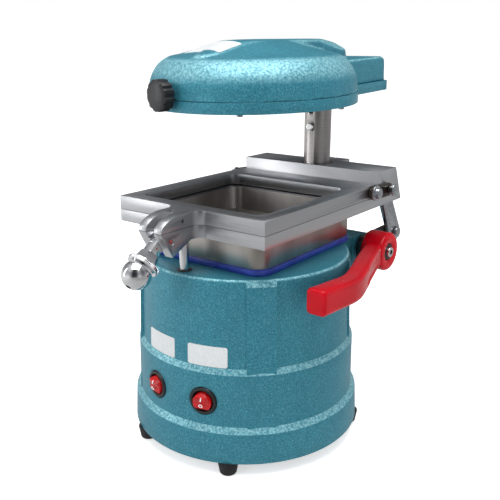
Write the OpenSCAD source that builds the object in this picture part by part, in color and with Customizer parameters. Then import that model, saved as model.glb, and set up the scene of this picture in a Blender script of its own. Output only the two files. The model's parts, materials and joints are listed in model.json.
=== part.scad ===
// Dental vacuum former: a round cast base with a suction chamber on top, a sheet frame that a
// lever lifts on one post, and a heater head that swings about the same post.
// Front is -Y, the lever is on +X, and the floor is z = 0 under the middle of the base.

/* [Feet and base plate] */
// Height of the rubber feet
foot_h = 11; // [8:0.5:20]
// Diameter of a foot
foot_d = 16.4; // [14:0.2:18]
// How far the feet's centres stand in from the flange's edge
foot_in = 6.2; // [5:0.2:7.6]
// Angle of the front feet from straight ahead
foot_front_az = 28.5; // [20:0.5:40]
// Angle of the rear feet from straight ahead
foot_rear_az = 120; // [110:0.5:140]
// Thickness of the bottom plate
plate_t = 3; // [2:0.5:5]
// Length of the vent slots in the bottom plate
vent_len = 26; // [16:1:30]
// Width of the vent slots in the bottom plate
vent_w = 4; // [3:0.5:6]
// Diameter of the screws in the feet and in the bottom plate
screw_d = 4; // [3:0.5:5]

/* [Base housing] */
// Height of the cast housing
base_h = 142; // [130:1:160]
// Height of the bottom flange
flange_h = 24; // [18:1:30]
// Radius of the middle tier
mid_r = 89.6; // [88.6:0.1:90.4]
// How far the bottom flange stands out of the middle tier
flange_out = 5; // [4:0.2:8]
// Height at which the middle tier ends
mid_top = 70; // [66:1:71]
// How far the upper tier's foot stands back from the middle tier
tier_in = 3.4; // [2.6:0.1:4]
// How far the upper tier leans in up to its rim
tier_lean = 2; // [1:0.1:2.6]
// Height of each sloping step between two tiers
step_h = 4; // [2:0.5:5]
// Rounding of the top rim
rim_round = 2.5; // [1:0.5:4]
// Wall of the upper tier at its rim
tier_wall = 5.2; // [4.6:0.1:6.2]
// Wall of the lower half
low_wall = 6.6; // [6:0.1:8]
// Thickness of the top plate
top_t = 6; // [5:0.5:9]
// Width of the four ribs
rib_w = 22; // [18:1:28]
// How far the front ribs stand out at the rim
rib_out = 1.6; // [1:0.1:2.2]
// How far the rear ribs stand out at the rim
rib_rear_out = 0.3; // [0.2:0.1:0.8]
// Angle of the rear ribs from straight ahead
rib_rear_az = 118; // [112:1:126]
// Half width of the step behind the chamber
rear_half = 55; // [54:0.5:55]
// Rear face of the step behind the chamber
rear_face = 79; // [78:0.5:80]

/* [Switches and label plates] */
// Angle of the right switch from straight ahead
switch_right_az = 16.3; // [13:0.5:24]
// Angle of the left switch from straight ahead
switch_left_az = -13.4; // [-20:0.2:-9]
// Height of both switches above the bottom of the housing
switch_h = 47.2; // [42:0.2:54]
// Diameter of the round switch bezel
bezel_d = 22.4; // [21:0.2:25]
// How far the bezel stands out
bezel_t = 2; // [1.5:0.1:3]
// Diameter of the round rocker
rocker_w = 14.4; // [12:0.2:14.8]
// Radius of the rocker about its pivot
rocker_r = 7.6; // [7:0.1:7.8]
// Tilt of the rocker at rest
rocker_tilt = 8; // [5:0.5:10]
// Height of the label plates
label_h = 16; // [12:0.5:20]
// Middle of the label plates above the bottom of the housing
label_z = 82.5; // [82:0.5:100]
// Angle that each label plate spans
label_span = 21; // [14:0.5:24]
// Angle of the middle of the right label plate
label_right_az = 17.9; // [14:0.5:24]
// Angle of the middle of the left label plate
label_left_az = -11.6; // [-18:0.5:-8]
// Thickness of every label plate
label_t = 0.5; // [0.4:0.1:1]
// Angle of the cable gland from straight ahead
gland_az = 158; // [150:1:164]
// Height of the cable gland above the bottom of the housing
gland_h = 46; // [38:1:54]

/* [Suction chamber] */
// Half of the chamber's outer width
chamber_half = 57.5; // [54:0.5:57.8]
// Corner radius of the chamber
chamber_round = 12.5; // [8:0.5:18]
// Wall of the chamber
chamber_wall = 2; // [1.5:0.1:3]
// Rear face of the chamber's lower part
chamber_rear = 74; // [70:0.5:76]
// Thickness of the seal under the chamber
seal_t = 5; // [3:0.5:7]
// How far the seal stands out around the chamber
seal_out = 1; // [0.5:0.1:2]
// Height of the perforated plate's top above the seal
deck_h = 10.2; // [8:0.2:14]
// Thickness of the perforated plate
deck_t = 2.6; // [2:0.1:4]
// Width of the ledge under the perforated plate
ledge_w = 4; // [3:0.5:6]
// Diameter of the holes in the perforated plate
hole_d = 2.6; // [1.6:0.1:3.4]
// Spacing of the holes in the perforated plate
hole_pitch = 10; // [8:0.5:16]
// Radius of the suction duct
duct_r = 18; // [12:0.5:22]

/* [Vacuum motor] */
// Radius of the fan housing
fan_r = 60; // [52:1:66]
// Height of the fan housing
fan_h = 38; // [32:1:42]
// Radius of the motor can
motor_r = 44; // [38:1:50]
// Height of the motor can
motor_h = 56; // [50:1:60]
// Height of the rubber ring above the fan housing
duct_seal_h = 6; // [4:0.5:8]
// Wall of the fan housing and the motor can
sheet_t = 1.6; // [1.2:0.1:2.5]
// Radius of the motor shaft
motor_shaft_r = 4; // [3:0.5:6]
// Number of fan blades
blade_count = 8; // [6:1:12]

/* [Post and rear housing] */
// Diameter of the post
post_d = 24; // [20:0.5:25]
// Distance of the post behind the base axis
post_y = 107; // [104:0.5:110]
// Height of the post's top end above the floor
post_top = 291; // [286:0.5:292]
// Radius of the rear boss that holds the post
boss_r = 22; // [19:0.5:26]
// Depth of the post in its boss
post_depth = 44; // [36:1:50]
// Height of the stop button above the floor
button_z = 242; // [241.8:0.2:248]
// Diameter of the stop button
button_d = 7; // [5:0.5:8]
// How far the stop button stands out of the post
button_out = 2.6; // [2:0.1:3.2]

/* [Sheet frame] */
// Half of the frame's width
frame_half = 70; // [66.5:0.5:76]
// Half of the square opening in the frame
open_half = 58.5; // [58.2:0.1:61]
// Front edge of the frame
frame_front = -70.5; // [-74:0.5:-67.5]
// Rear edge of the upper frame
upper_rear = 88; // [84:0.5:89]
// Thickness of the lower frame
lower_t = 9.5; // [8:0.5:12]
// Thickness of the upper frame
upper_t = 10.3; // [8:0.1:13]
// Gap between the closed frames
split_gap = 0.4; // [0.3:0.05:1]
// Thickness of the black gasket at the opening
gasket_t = 1.2; // [0.8:0.1:2]
// Width of the gasket
gasket_w = 4.2; // [3:0.1:6]
// Underside of the lower frame above the seal
frame_lift = 21; // [18:0.5:24]
// How far the chamber's rim stays under the top of the lower frame
rim_below = 0.3; // [0.2:0.1:1.5]

/* [Carriage block] */
// Front face of the carriage block
block_front = 92; // [91:0.5:94]
// Rear edge of the block at its top
block_rear = 126; // [123:0.5:130]
// Rear edge of the block at its bottom
block_rear_low = 139; // [134:0.5:146]
// How far the block stands above the upper frame
block_rise = 9.8; // [6:0.2:12]
// Half width of the clamp lug behind the post
lug_half = 15; // [13:0.5:22]
// Rear face of the clamp lug
lug_rear = 141; // [139.5:0.5:146]
// Wall of the bronze bush on the post
bush_wall = 3; // [2:0.5:4]
// Distance of the hinge axis of the upper frame behind the base axis
hinge_y = 108; // [106:0.5:109]
// Distance of the front hinge screws behind the base axis
hinge_screw_y = 82; // [74:0.5:82]
// Thickness of the hinge links
hinge_link_t = 3; // [2:0.5:5]
// Diameter of the front guide rod
rod_d = 7.5; // [6:0.5:9]
// Distance of the guide rod from the base axis
rod_y = 74.5; // [74:0.5:76]
// Length of the guide rod below the lower frame
rod_len = 66; // [60:1:80]

/* [Latch] */
// Half width of the latch tabs
tab_half = 11; // [9:0.5:15]
// Front end of the latch tabs
tab_tip = -108.7; // [-112:0.1:-107]
// Half width of the slot in the tabs
slot_half = 3.8; // [3.7:0.1:5]
// Rear end of the slot in the upper tab
slot_rear = -88; // [-90:0.5:-87]
// Depth of the lower tab's wedge below the split
wedge_drop = 18.7; // [16:0.1:20]
// Concave rounding where the tabs meet the frame
tab_fillet = 8; // [4:0.5:12]
// Latch pivot behind the tip of the tabs
pivot_in = 10.2; // [9.6:0.1:11]
// Latch pivot below the top of the lower frame
pivot_drop = 7; // [6.4:0.1:8]
// Diameter of the latch pin
latch_pin_d = 5; // [4:0.5:6]
// Angle of the hanging bolt below level
swing_rest = 39; // [30:1:50]
// Diameter of the ball on the clamp knob
ball_d = 21.4; // [18:0.2:24]
// Diameter of the knurled flange on the clamp knob
clamp_flange_d = 24; // [20:0.5:28]
// Thickness of the knurled flange
clamp_flange_t = 3.5; // [2.5:0.5:5]
// Distance of the clamp knob's collar from the pivot
collar_start = 13.2; // [13:0.1:15]
// Length of the clamp knob's collar
collar_len = 7.8; // [6:0.2:10]
// Diameter of the clamp knob's collar
collar_d = 14.6; // [12:0.2:16]

/* [Lever and linkage] */
// Distance of the lever axis behind the base axis
lever_y = 96; // [95:0.5:97]
// Depth of the lever axis below the top of the housing
lever_drop = 12.4; // [11:0.2:14.6]
// Diameter of the lever shaft
shaft_d = 12; // [10:0.5:13]
// Outer face of the shaft lug
lug_face = 55; // [53:0.5:55]
// Length of the crank from shaft to pin
crank_len = 46.3; // [44:0.1:48]
// Angle of the crank above level at rest
crank_rest = 6.6; // [4:0.2:9]
// Length of the lift link between its pins
link_len = 44; // [43:0.2:46]
// Lean of the lift link from upright at rest
link_lean = 30.9; // [28:0.1:33]
// Thickness of the crank and of the link
link_t = 4.5; // [3:0.1:4.8]
// Diameter of the linkage pins
link_pin_d = 6; // [5:0.5:7]
// Radial play of the link's upper eye on its pin
eye_play = 1.6; // [1.5:0.1:1.8]
// Radius of the lever's boss
lever_boss_r = 16.7; // [14:0.1:17]
// Outer face of the lever's boss
lever_boss_face = 80; // [79:0.5:84]
// How far the grip's inner face stands outside the middle tier
grip_gap = 1.8; // [1.6:0.2:4]
// Width of the grip
grip_w = 16; // [13:0.2:17]
// Front end of the grip
grip_tip = -52; // [-60:1:-42]
// Height of the lever's arm at its boss
arm_tall = 18; // [15:0.2:19]
// Height of the grip at its tip
grip_tall = 19.2; // [16:0.2:21]
// Where along Y the arm turns into its straight grip
grip_start = 2; // [-6:1:10]
// Where along Y the arm starts to dip
dip_start = 36; // [26:1:48]
// How far the arm dips on its way to the grip
grip_dip = 2; // [0:0.2:4]
// How far the grip's tip stands above the lever's axis
grip_rise = 2.2; // [0:0.2:5]
// Cut along the arm's edges and round its tip
arm_cut = 2.2; // [1:0.2:3.4]

/* [Heater head] */
// Centre of the round head in front of or behind the base axis
head_y = 10; // [6:0.5:14]
// Radius of the round head
head_r = 81; // [79.5:0.5:84]
// Height of the head's lower edge above the floor, at the post
head_z = 272.5; // [270:0.5:276]
// How far the head droops towards its front
head_droop = 2; // [0:0.5:3]
// Height of the lower ring of the head
ring_h = 8; // [6:0.5:10]
// Height of the rounded shoulder above the ring
shoulder_h = 29; // [25:0.5:30]
// Width of the rounded shoulder
shoulder_w = 22.5; // [18:0.5:26]
// Rise of the crown above the shoulder
crown_rise = 8.3; // [6:0.1:10]
// Half width of the neck around the post
neck_half = 45.8; // [42:0.2:50]
// Rear face of the neck
neck_rear = 145.8; // [142:0.2:152]
// How far the ring stands out around the neck
neck_lip = 2.2; // [1:0.1:3]
// Height of the neck above the ring
neck_h = 20.8; // [19:0.2:24]
// Wall of the head
head_wall = 3; // [2:0.5:4]
// How far the spine stands out of the crown
spine_out = 1.4; // [0.8:0.1:3]
// Half width of the spine at its rear
spine_r = 30; // [24:1:34]
// Outer radius of the hub on the post
hub_r = 19; // [17:0.5:24]
// How far the reflector's edge stands in from the head's edge
reflector_in = 7; // [5.5:0.5:10]
// Radius of the heater tube
heater_tube_r = 3; // [2:0.5:3.5]
// Radius of the heater's inner ring
heater_inner_r = 26; // [22:1:32]
// Radius of the heater's outer ring
heater_outer_r = 50; // [44:1:56]
// Half of the distance between the heater's two ends
heater_end_x = 14; // [12:0.5:18]
// Distance of the heater's ends behind the middle of the head
heater_end_y = 60; // [58:0.5:62]
// Height of the heater above the head's lower edge
heater_h = 5.6; // [5:0.1:5.9]
// Diameter of the front knob
head_knob_d = 22.5; // [18:0.5:26]
// Depth of the front knob
head_knob_t = 9; // [7:0.5:14]
// Angle of the front knob from straight ahead
head_knob_az = -10; // [-20:1:10]
// Height of the front knob above the head's lower edge
head_knob_h = 12.2; // [11.8:0.2:15]
// How far the head's label plate stands left of the middle
head_label_x = 9.5; // [6:0.5:12]
// How far the head's label plate stands in front of the base axis
head_label_y = 25.5; // [22:0.5:29]
// Width of the label plate on the head
head_label_w = 42; // [30:1:50]
// Depth of the label plate on the head
head_label_d = 22; // [14:1:26]

/* [Hidden] */
$fn = 72;

// Running clearance of a shaft in its bush, on the radius
fit = 0.05;
// Overlap that keeps cuts clean
eps = 0.01;

base_z = foot_h;
flange_r = mid_r + flange_out;
upper_r = mid_r - tier_in;
rim_r = upper_r - tier_lean;
cavity_r = rim_r - tier_wall;
cavity_low_r = mid_r - low_wall;
foot_ring_r = flange_r - foot_in;
lever_h = base_h - lever_drop;
base_top = base_z + base_h;
seal_top = base_top + seal_t;
deck_top = seal_top + deck_h;
frame_z = seal_top + frame_lift;
split_z = frame_z + lower_t;
upper_z = split_z + split_gap;
frame_top = upper_z + upper_t;
block_top = frame_top + block_rise;
chamber_top = split_z - rim_below;
fan_top = base_top - top_t - duct_seal_h;
fan_z = fan_top - fan_h;
motor_z = fan_z - motor_h;
post_r = post_d / 2;
post_z = base_z + lever_h + 4.8 - post_depth;
boss_top = base_z + lever_h + 4.8;
boss_z = post_z - 6;
hinge_z = upper_z + 3.6;
lever_z = base_z + lever_h;
shaft_r = shaft_d / 2;
crank_x = lug_face + 1;
link_x = crank_x + link_t + 0.5;
crank_pin_y = lever_y + crank_len * cos(crank_rest);
crank_pin_z = lever_z + crank_len * sin(crank_rest);
eye_y = crank_pin_y - link_len * sin(link_lean);
eye_z = crank_pin_z + link_len * cos(link_lean);
link_pin_r = link_pin_d / 2;
eye_bore_r = link_pin_r + eye_play;
eye_r = eye_bore_r + 3.4;
pivot_y = tab_tip + pivot_in;
pivot_z = split_z - pivot_drop;
latch_pin_r = latch_pin_d / 2;
grip_in = mid_r + grip_gap;
grip_out = grip_in + grip_w;
arm_start = lever_y - 8;
arm_steps = 20;
arm_splay = (grip_out - lever_boss_face) / (arm_start - grip_start);
arm_fall = grip_dip / (dip_start - grip_start);
grip_climb = (grip_rise + grip_dip) / (grip_start - grip_tip);
reflector_r = head_r - reflector_in;
ring_top = head_z + ring_h;
shoulder_top = ring_top + shoulder_h;
crown_top = shoulder_top + crown_rise;
neck_top = ring_top + neck_h;
hub_top = post_top + 5;

// Angles of the four feet and of the four bottom plate screws
foot_angles = [-foot_front_az, foot_front_az, foot_rear_az, -foot_rear_az];
plate_screw_angles = [0, 76, 180, -76];
plate_screw_ring = cavity_low_r - 8;

// Place the children at an angle from straight ahead, facing outwards along -Y
module at_az(az, r, z) {
    rotate([0, 0, az])
        translate([0, -r, z])
            children();
}

// Round bar along X from x0 to x1
module x_bar(x0, x1, y, z, r) {
    translate([x0, y, z])
        rotate([0, 90, 0])
            cylinder(h = x1 - x0, r = r);
}

// Round bar pointing outwards along -Y, from depth d0 to d1 outside the origin
module out_bar(d0, d1, r, r_end = -1) {
    translate([0, -d0, 0])
        rotate([90, 0, 0])
            cylinder(h = d1 - d0, r1 = r, r2 = r_end < 0 ? r : r_end);
}

// Rectangle with round corners, from two opposite corners
module soft_rect(x0, y0, x1, y1, r) {
    translate([x0 + r, y0])
        square([x1 - x0 - 2 * r, y1 - y0]);
    translate([x0, y0 + r])
        square([x1 - x0, y1 - y0 - 2 * r]);
    for (x = [x0 + r, x1 - r], y = [y0 + r, y1 - r])
        translate([x, y])
            circle(r = r);
}

// Square with round corners about the origin
module soft_square(half, r) {
    soft_rect(-half, -half, half, half, r);
}

// Side profile in the YZ plane, drawn from x0 to x1
module side_profile(x0, x1, points) {
    translate([x0, 0, 0])
        rotate([90, 0, 90])
            linear_extrude(height = x1 - x0)
                polygon(points);
}

// Flat bar with two round ends in the YZ plane, from x0 to x1
module tapered_bar(x0, x1, y0, z0, r0, y1, z1, r1) {
    len = norm([y1 - y0, z1 - z0]);
    dir = atan2(z1 - z0, y1 - y0);
    side = acos((r0 - r1) / len);
    x_bar(x0, x1, y0, z0, r0);
    x_bar(x0, x1, y1, z1, r1);
    side_profile(x0, x1, [
        for (p = [[y0, z0, r0, side], [y1, z1, r1, side], [y1, z1, r1, -side], [y0, z0, r0, -side]])
            [p[0] + p[2] * cos(dir + p[3]), p[1] + p[2] * sin(dir + p[3])]
    ]);
}

// Radius of the upper tier at a height above the bottom of the housing
function tier_r(h) =
    rim_r + (upper_r - rim_r) * (base_h - rim_round - h) / (base_h - rim_round - mid_top - step_h);

// Outline of the stepped housing as radius and height above its bottom
function tier_points() = concat(
    [
        [0, 0], [flange_r, 0], [flange_r - 1.2, flange_h], [mid_r, flange_h + step_h],
        [mid_r - 0.4, mid_top], [upper_r, mid_top + step_h]
    ],
    [
        for (a = [0 : 22.5 : 90])
            [rim_r - rim_round * (1 - cos(a)), base_h - rim_round * (1 - sin(a))]
    ],
    [[0, base_h]]
);

// Flat rib that leans out from the rim to just proud of the middle tier
module rib(az, top_out, foot_out) {
    face = rim_r + top_out;
    rotate([0, 0, az])
        side_profile(-rib_w / 2, rib_w / 2, [
            [-cavity_r + 8, base_z + flange_h],
            [-mid_r - foot_out, base_z + flange_h],
            [-face, base_z + base_h - 2 * rim_round],
            [-face + rim_round, base_z + base_h - rim_round / 3],
            [-cavity_r + 8, base_z + base_h - rim_round / 3]
        ]);
}

module ribs() {
    for (s = [-1, 1]) {
        rib(s * 45, rib_out, 0.3);
        rib(s * rib_rear_az, rib_rear_out, -0.8);
    }
}

module rear_step() {
    translate([-rear_half, 40, boss_z])
        cube([2 * rear_half, rear_face - 40, base_top - boss_z]);
}

module rear_boss() {
    translate([0, 0, boss_z])
        linear_extrude(height = boss_top - boss_z) {
            translate([0, post_y])
                circle(r = boss_r);
            translate([-boss_r - 8, 60])
                square([2 * boss_r + 16, post_y - 60 - 6]);
            translate([-boss_r, post_y - 12])
                square([2 * boss_r, 12]);
        }
}

module shaft_lug() {
    side_profile(boss_r, lug_face, [
        [lever_y - 16, lever_z - 42],
        [lever_y + 11, lever_z - 28],
        [lever_y + 11, lever_z + 6],
        [lever_y + 8, lever_z + 11.3],
        [lever_y - 16, lever_z + 11.3]
    ]);
    translate([boss_r, 58, lever_z - 42])
        cube([18, lever_y - 16 - 58 + eps, 46]);
}

module base_housing() {
    color("#3f93a6")
    difference() {
        union() {
            translate([0, 0, base_z])
                rotate_extrude()
                    polygon(tier_points());
            ribs();
            rear_step();
            rear_boss();
            shaft_lug();
        }
        translate([0, 0, base_z - 1])
            cylinder(h = mid_top + 1, r = cavity_low_r);
        translate([0, 0, base_z])
            cylinder(h = base_h - top_t, r = cavity_r);
        translate([0, 0, base_z])
            cylinder(h = base_h + 1, r = duct_r);
        translate([0, post_y, post_z])
            cylinder(h = post_depth + 1, r = post_r);
        x_bar(boss_r + 8, lug_face + 1, lever_y, lever_z, shaft_r + 2.5);
        translate([0, -rod_y, base_z])
            cylinder(h = base_h + 1, r = rod_d / 2 + 2);
        for (az = [switch_right_az, switch_left_az])
            at_az(az, 0, base_z + switch_h) {
                out_bar(cavity_r - 10, flange_r + 10, bezel_d / 2 - 0.6);
                out_bar(mid_r - 1.2, flange_r + 10, bezel_d / 2 + 0.3);
            }
        at_az(gland_az, 0, base_z + gland_h) {
            out_bar(cavity_r - 10, flange_r + 10, 6);
            out_bar(mid_r - 1.2, flange_r + 10, 9);
        }
        for (az = foot_angles)
            at_az(az, foot_ring_r, base_z - 1)
                cylinder(h = 13, r = screw_d / 2);
        translate([0, post_y, post_z + 14])
            rotate([-90, 0, 0])
                cylinder(h = boss_r + 10, r = 4);
    }
    color("#3f93a6")
    for (az = plate_screw_angles)
        at_az(az, plate_screw_ring, base_z + plate_t)
            difference() {
                translate([-6, -8.8, 0])
                    cube([12, 14.8, 20]);
                translate([0, 0, -1])
                    cylinder(h = 15, r = screw_d / 2);
            }
}

module base_plate() {
    color("#30343a")
    difference() {
        translate([0, 0, base_z])
            cylinder(h = plate_t, r = cavity_low_r - 0.2);
        for (az = [0 : 30 : 330])
            rotate([0, 0, az + 15])
                translate([0, 0, base_z - 1])
                    linear_extrude(height = plate_t + 2)
                        soft_rect(-vent_w / 2, 30, vent_w / 2, 30 + vent_len, vent_w / 2 - 0.1);
        for (az = plate_screw_angles)
            at_az(az, plate_screw_ring, base_z - 1)
                cylinder(h = plate_t + 2, r = screw_d / 2 + 0.2);
    }
}

module base_plate_screws() {
    color("silver")
    for (az = plate_screw_angles)
        at_az(az, plate_screw_ring, 0)
            difference() {
                union() {
                    translate([0, 0, base_z - 2.2])
                        cylinder(h = 2.2, r = screw_d);
                    translate([0, 0, base_z - eps])
                        cylinder(h = 12, r = screw_d / 2);
                }
                translate([-screw_d, -0.5, base_z - 3])
                    cube([2 * screw_d, 1, 2]);
            }
}

module rubber_feet() {
    color("#17181a")
    for (az = foot_angles)
        at_az(az, foot_ring_r, 0)
            difference() {
                rotate_extrude()
                    polygon([
                        [0, 0], [foot_d / 2 - 2.4, 0], [foot_d / 2 - 1.6, 1.2],
                        [foot_d / 2, foot_h - 1], [foot_d / 2 - 0.4, foot_h], [0, foot_h]
                    ]);
                translate([0, 0, -1])
                    cylinder(h = 5, r = screw_d);
                translate([0, 0, 3])
                    cylinder(h = foot_h, r = screw_d / 2);
            }
}

module foot_screws() {
    color("silver")
    for (az = foot_angles)
        at_az(az, foot_ring_r, 0) {
            translate([0, 0, 1.6])
                cylinder(h = 2.4, r = screw_d - 0.3);
            translate([0, 0, 3])
                cylinder(h = foot_h + 8, r = screw_d / 2);
        }
}

module chamber_seal() {
    color("#2c3f9a")
    translate([0, 0, base_top])
        linear_extrude(height = seal_t)
            difference() {
                soft_rect(
                    -chamber_half - seal_out, -chamber_half - seal_out,
                    chamber_half + seal_out, chamber_rear + seal_out, chamber_round + seal_out
                );
                circle(r = duct_r);
            }
}

module vacuum_chamber() {
    inner = chamber_half - chamber_wall;
    inner_round = chamber_round - chamber_wall;
    color("#c9ccd0")
    difference() {
        union() {
            translate([0, 0, seal_top])
                linear_extrude(height = chamber_top - seal_top)
                    soft_square(chamber_half, chamber_round);
            translate([0, 0, seal_top])
                linear_extrude(height = frame_lift - 0.6)
                    soft_rect(-chamber_half, 0, chamber_half, chamber_rear, chamber_round);
        }
        translate([-chamber_half + 4, chamber_half + 2, seal_top - 1])
            cube([2 * chamber_half - 8, chamber_rear - chamber_half - 4, frame_lift - 2.6]);
        translate([0, 0, deck_top - deck_t])
            linear_extrude(height = 40)
                soft_square(inner, inner_round);
        translate([0, 0, seal_top + chamber_wall])
            linear_extrude(height = 40)
                soft_square(inner - ledge_w, inner_round - ledge_w);
        translate([0, 0, seal_top - 1])
            cylinder(h = 10, r = duct_r);
    }
}

module perforated_plate() {
    half = chamber_half - chamber_wall - 0.1;
    reach = floor((half - ledge_w - hole_d) / hole_pitch);
    color("#b9bdc2")
    translate([0, 0, deck_top - deck_t])
        linear_extrude(height = deck_t)
            difference() {
                soft_square(half, chamber_round - chamber_wall - 0.1);
                for (i = [-reach : reach], j = [-reach : reach])
                    translate([i * hole_pitch, j * hole_pitch])
                        circle(r = hole_d / 2, $fn = 16);
            }
}

module rod_bush() {
    color("#2a2a2c")
    translate([0, -rod_y, base_top - top_t - 8])
        difference() {
            cylinder(h = top_t + 8.6, r = rod_d / 2 + 2);
            translate([0, 0, -1])
                cylinder(h = top_t + 12, r = rod_d / 2 + fit);
        }
}

module shaft_bush() {
    color("#b08d57")
    difference() {
        x_bar(boss_r + 12, lug_face, lever_y, lever_z, shaft_r + 2.5);
        x_bar(boss_r + 11, lug_face + 1, lever_y, lever_z, shaft_r + fit);
    }
}

module thrust_washer() {
    color("silver")
    difference() {
        x_bar(lug_face, lug_face + 0.8, lever_y, lever_z, shaft_r + 3.5);
        x_bar(lug_face - 1, lug_face + 2, lever_y, lever_z, shaft_r + fit);
    }
}

module post() {
    color("#c3c6c9")
    difference() {
        translate([0, post_y, 0])
            rotate_extrude()
                polygon([
                    [0, post_z], [post_r, post_z], [post_r, post_top - 1.5],
                    [post_r - 1.5, post_top], [0, post_top]
                ]);
        translate([0, post_y, button_z])
            out_bar(post_r - 10, post_r + 2, button_d / 2 + fit);
        translate([0, post_y, button_z + 14])
            out_bar(post_r - 5, post_r + 2, 2.6);
    }
}

module post_set_screw() {
    color("#3a3b3d")
    translate([0, post_y, post_z + 14])
        rotate([-90, 0, 0])
            difference() {
                translate([0, 0, post_r])
                    cylinder(h = boss_r - post_r - 1, r = 4);
                translate([0, 0, boss_r - 4])
                    cylinder(h = 5, r = 2.3, $fn = 6);
            }
}

module cable_gland() {
    color("#17181a")
    at_az(gland_az, 0, base_z + gland_h)
        difference() {
            union() {
                out_bar(cavity_low_r - 6, mid_r, 6);
                out_bar(mid_r - 1.2, mid_r + 2.4, 9);
                out_bar(mid_r + 2.4, mid_r + 9, 7.5, 6);
            }
            out_bar(cavity_low_r - 7, mid_r + 12, 3.6);
        }
}

module motor_can() {
    color("#8f9499")
    translate([0, 0, motor_z])
        difference() {
            union() {
                cylinder(h = motor_h, r = motor_r);
                cylinder(h = 4, r = motor_r + 8);
            }
            translate([0, 0, 6])
                cylinder(h = motor_h - 8, r = motor_r - sheet_t);
            translate([0, 0, motor_h - 3])
                cylinder(h = 5, r = motor_shaft_r + 1);
            translate([0, 0, 3])
                cylinder(h = 5, r = motor_shaft_r + fit);
        }
}

module motor_mounts() {
    color("#1d1e20")
    for (az = [60 : 120 : 300])
        at_az(az, motor_r + 2, base_z + plate_t)
            cylinder(h = motor_z - base_z - plate_t, r = 6);
}

module fan_housing() {
    color("#a9adb2")
    translate([0, 0, fan_z])
        difference() {
            cylinder(h = fan_h, r = fan_r);
            translate([0, 0, sheet_t])
                cylinder(h = fan_h - 2 * sheet_t, r = fan_r - sheet_t);
            translate([0, 0, fan_h - 2 * sheet_t])
                cylinder(h = 10, r = duct_r);
            translate([0, 0, -1])
                cylinder(h = 5, r = motor_shaft_r + 1);
            for (az = [0 : 45 : 315])
                at_az(az, 0, fan_h / 2 - 5)
                    out_bar(fan_r - 6, fan_r + 2, 4);
        }
}

module duct_seal() {
    color("#1d1e20")
    translate([0, 0, fan_top])
        difference() {
            cylinder(h = duct_seal_h, r = duct_r + 14);
            translate([0, 0, -1])
                cylinder(h = duct_seal_h + 2, r = duct_r + 2);
        }
}

module motor_shaft() {
    color("silver")
    translate([0, 0, motor_z + 3])
        cylinder(h = motor_h + fan_h * 0.6 - 3, r = motor_shaft_r);
}

module fan_impeller() {
    disc_z = fan_z + sheet_t + 4;
    reach = fan_r - sheet_t - 5;
    color("#d0d3d6")
    difference() {
        union() {
            translate([0, 0, disc_z])
                cylinder(h = 1.6, r = reach);
            translate([0, 0, disc_z])
                cylinder(h = fan_h * 0.45, r = motor_shaft_r + 5);
            for (az = [0 : 360 / blade_count : 359])
                rotate([0, 0, az])
                    translate([motor_shaft_r + 4, -0.8, disc_z])
                        cube([reach - motor_shaft_r - 5, 1.6, fan_h * 0.45]);
        }
        translate([0, 0, disc_z - 1])
            cylinder(h = fan_h, r = motor_shaft_r);
    }
}

module switch_body() {
    difference() {
        union() {
            out_bar(mid_r - 1.2, mid_r - 1.2 + bezel_t, bezel_d / 2, bezel_d / 2 - 0.8);
            out_bar(mid_r - 20, mid_r - 1.2 + eps, bezel_d / 2 - 0.7);
        }
        out_bar(mid_r - 12, mid_r + 5, rocker_w / 2 + 1.2);
    }
}

module switch_bodies() {
    color("#17181a")
    for (az = [switch_right_az, switch_left_az])
        at_az(az, 0, base_z + switch_h)
            switch_body();
}

// Rocker turned about a pivot 3 mm under the bezel face, its lower half pressed in
module rocker() {
    translate([0, -(mid_r - 3), 0])
        rotate([rocker_tilt, 0, 0])
            difference() {
                intersection() {
                    x_bar(-rocker_w / 2, rocker_w / 2, 0, 0, rocker_r);
                    out_bar(-10, 10, rocker_w / 2);
                }
                for (s = [-1, 1])
                    rotate([s * rocker_tilt, 0, 0])
                        translate([-rocker_w, -rocker_r - 5.4, s > 0 ? 0 : -20])
                            cube([2 * rocker_w, rocker_r, 20]);
                translate([-rocker_w, 3.5, -20])
                    cube([2 * rocker_w, 20, 40]);
            }
}

module heat_rocker() {
    color("#d01c1c")
    at_az(switch_right_az, 0, base_z + switch_h)
        rocker();
}

module vacuum_rocker() {
    color("#d01c1c")
    at_az(switch_left_az, 0, base_z + switch_h)
        rocker();
}

module switch_labels() {
    low = label_z - label_h / 2;
    high = label_z + label_h / 2;
    color("white")
    for (az = [label_right_az, label_left_az])
        translate([0, 0, base_z])
            rotate([0, 0, az - label_span / 2 - 90])
                rotate_extrude(angle = label_span)
                    polygon([
                        [tier_r(low) + 0.05, low], [tier_r(low) + label_t, low],
                        [tier_r(high) + label_t, high], [tier_r(high) + 0.05, high]
                    ]);
}

// Outline of the lower tab's wedge under the split
function wedge_points() = [
    [frame_front, split_z], [tab_tip, split_z],
    [tab_tip + wedge_drop * 0.567, split_z - wedge_drop],
    [frame_front - 8.5, frame_z], [frame_front, frame_z]
];

// Concave corners between a tab and the front edge of the frame
module tab_fillets(z, h) {
    for (s = [-1, 1])
        translate([0, 0, z])
            linear_extrude(height = h)
                difference() {
                    translate([s > 0 ? tab_half - eps : -tab_half - tab_fillet, frame_front - tab_fillet])
                        square([tab_fillet + eps, tab_fillet + eps]);
                    translate([s * (tab_half + tab_fillet), frame_front - tab_fillet])
                        circle(r = tab_fillet);
                }
}

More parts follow.
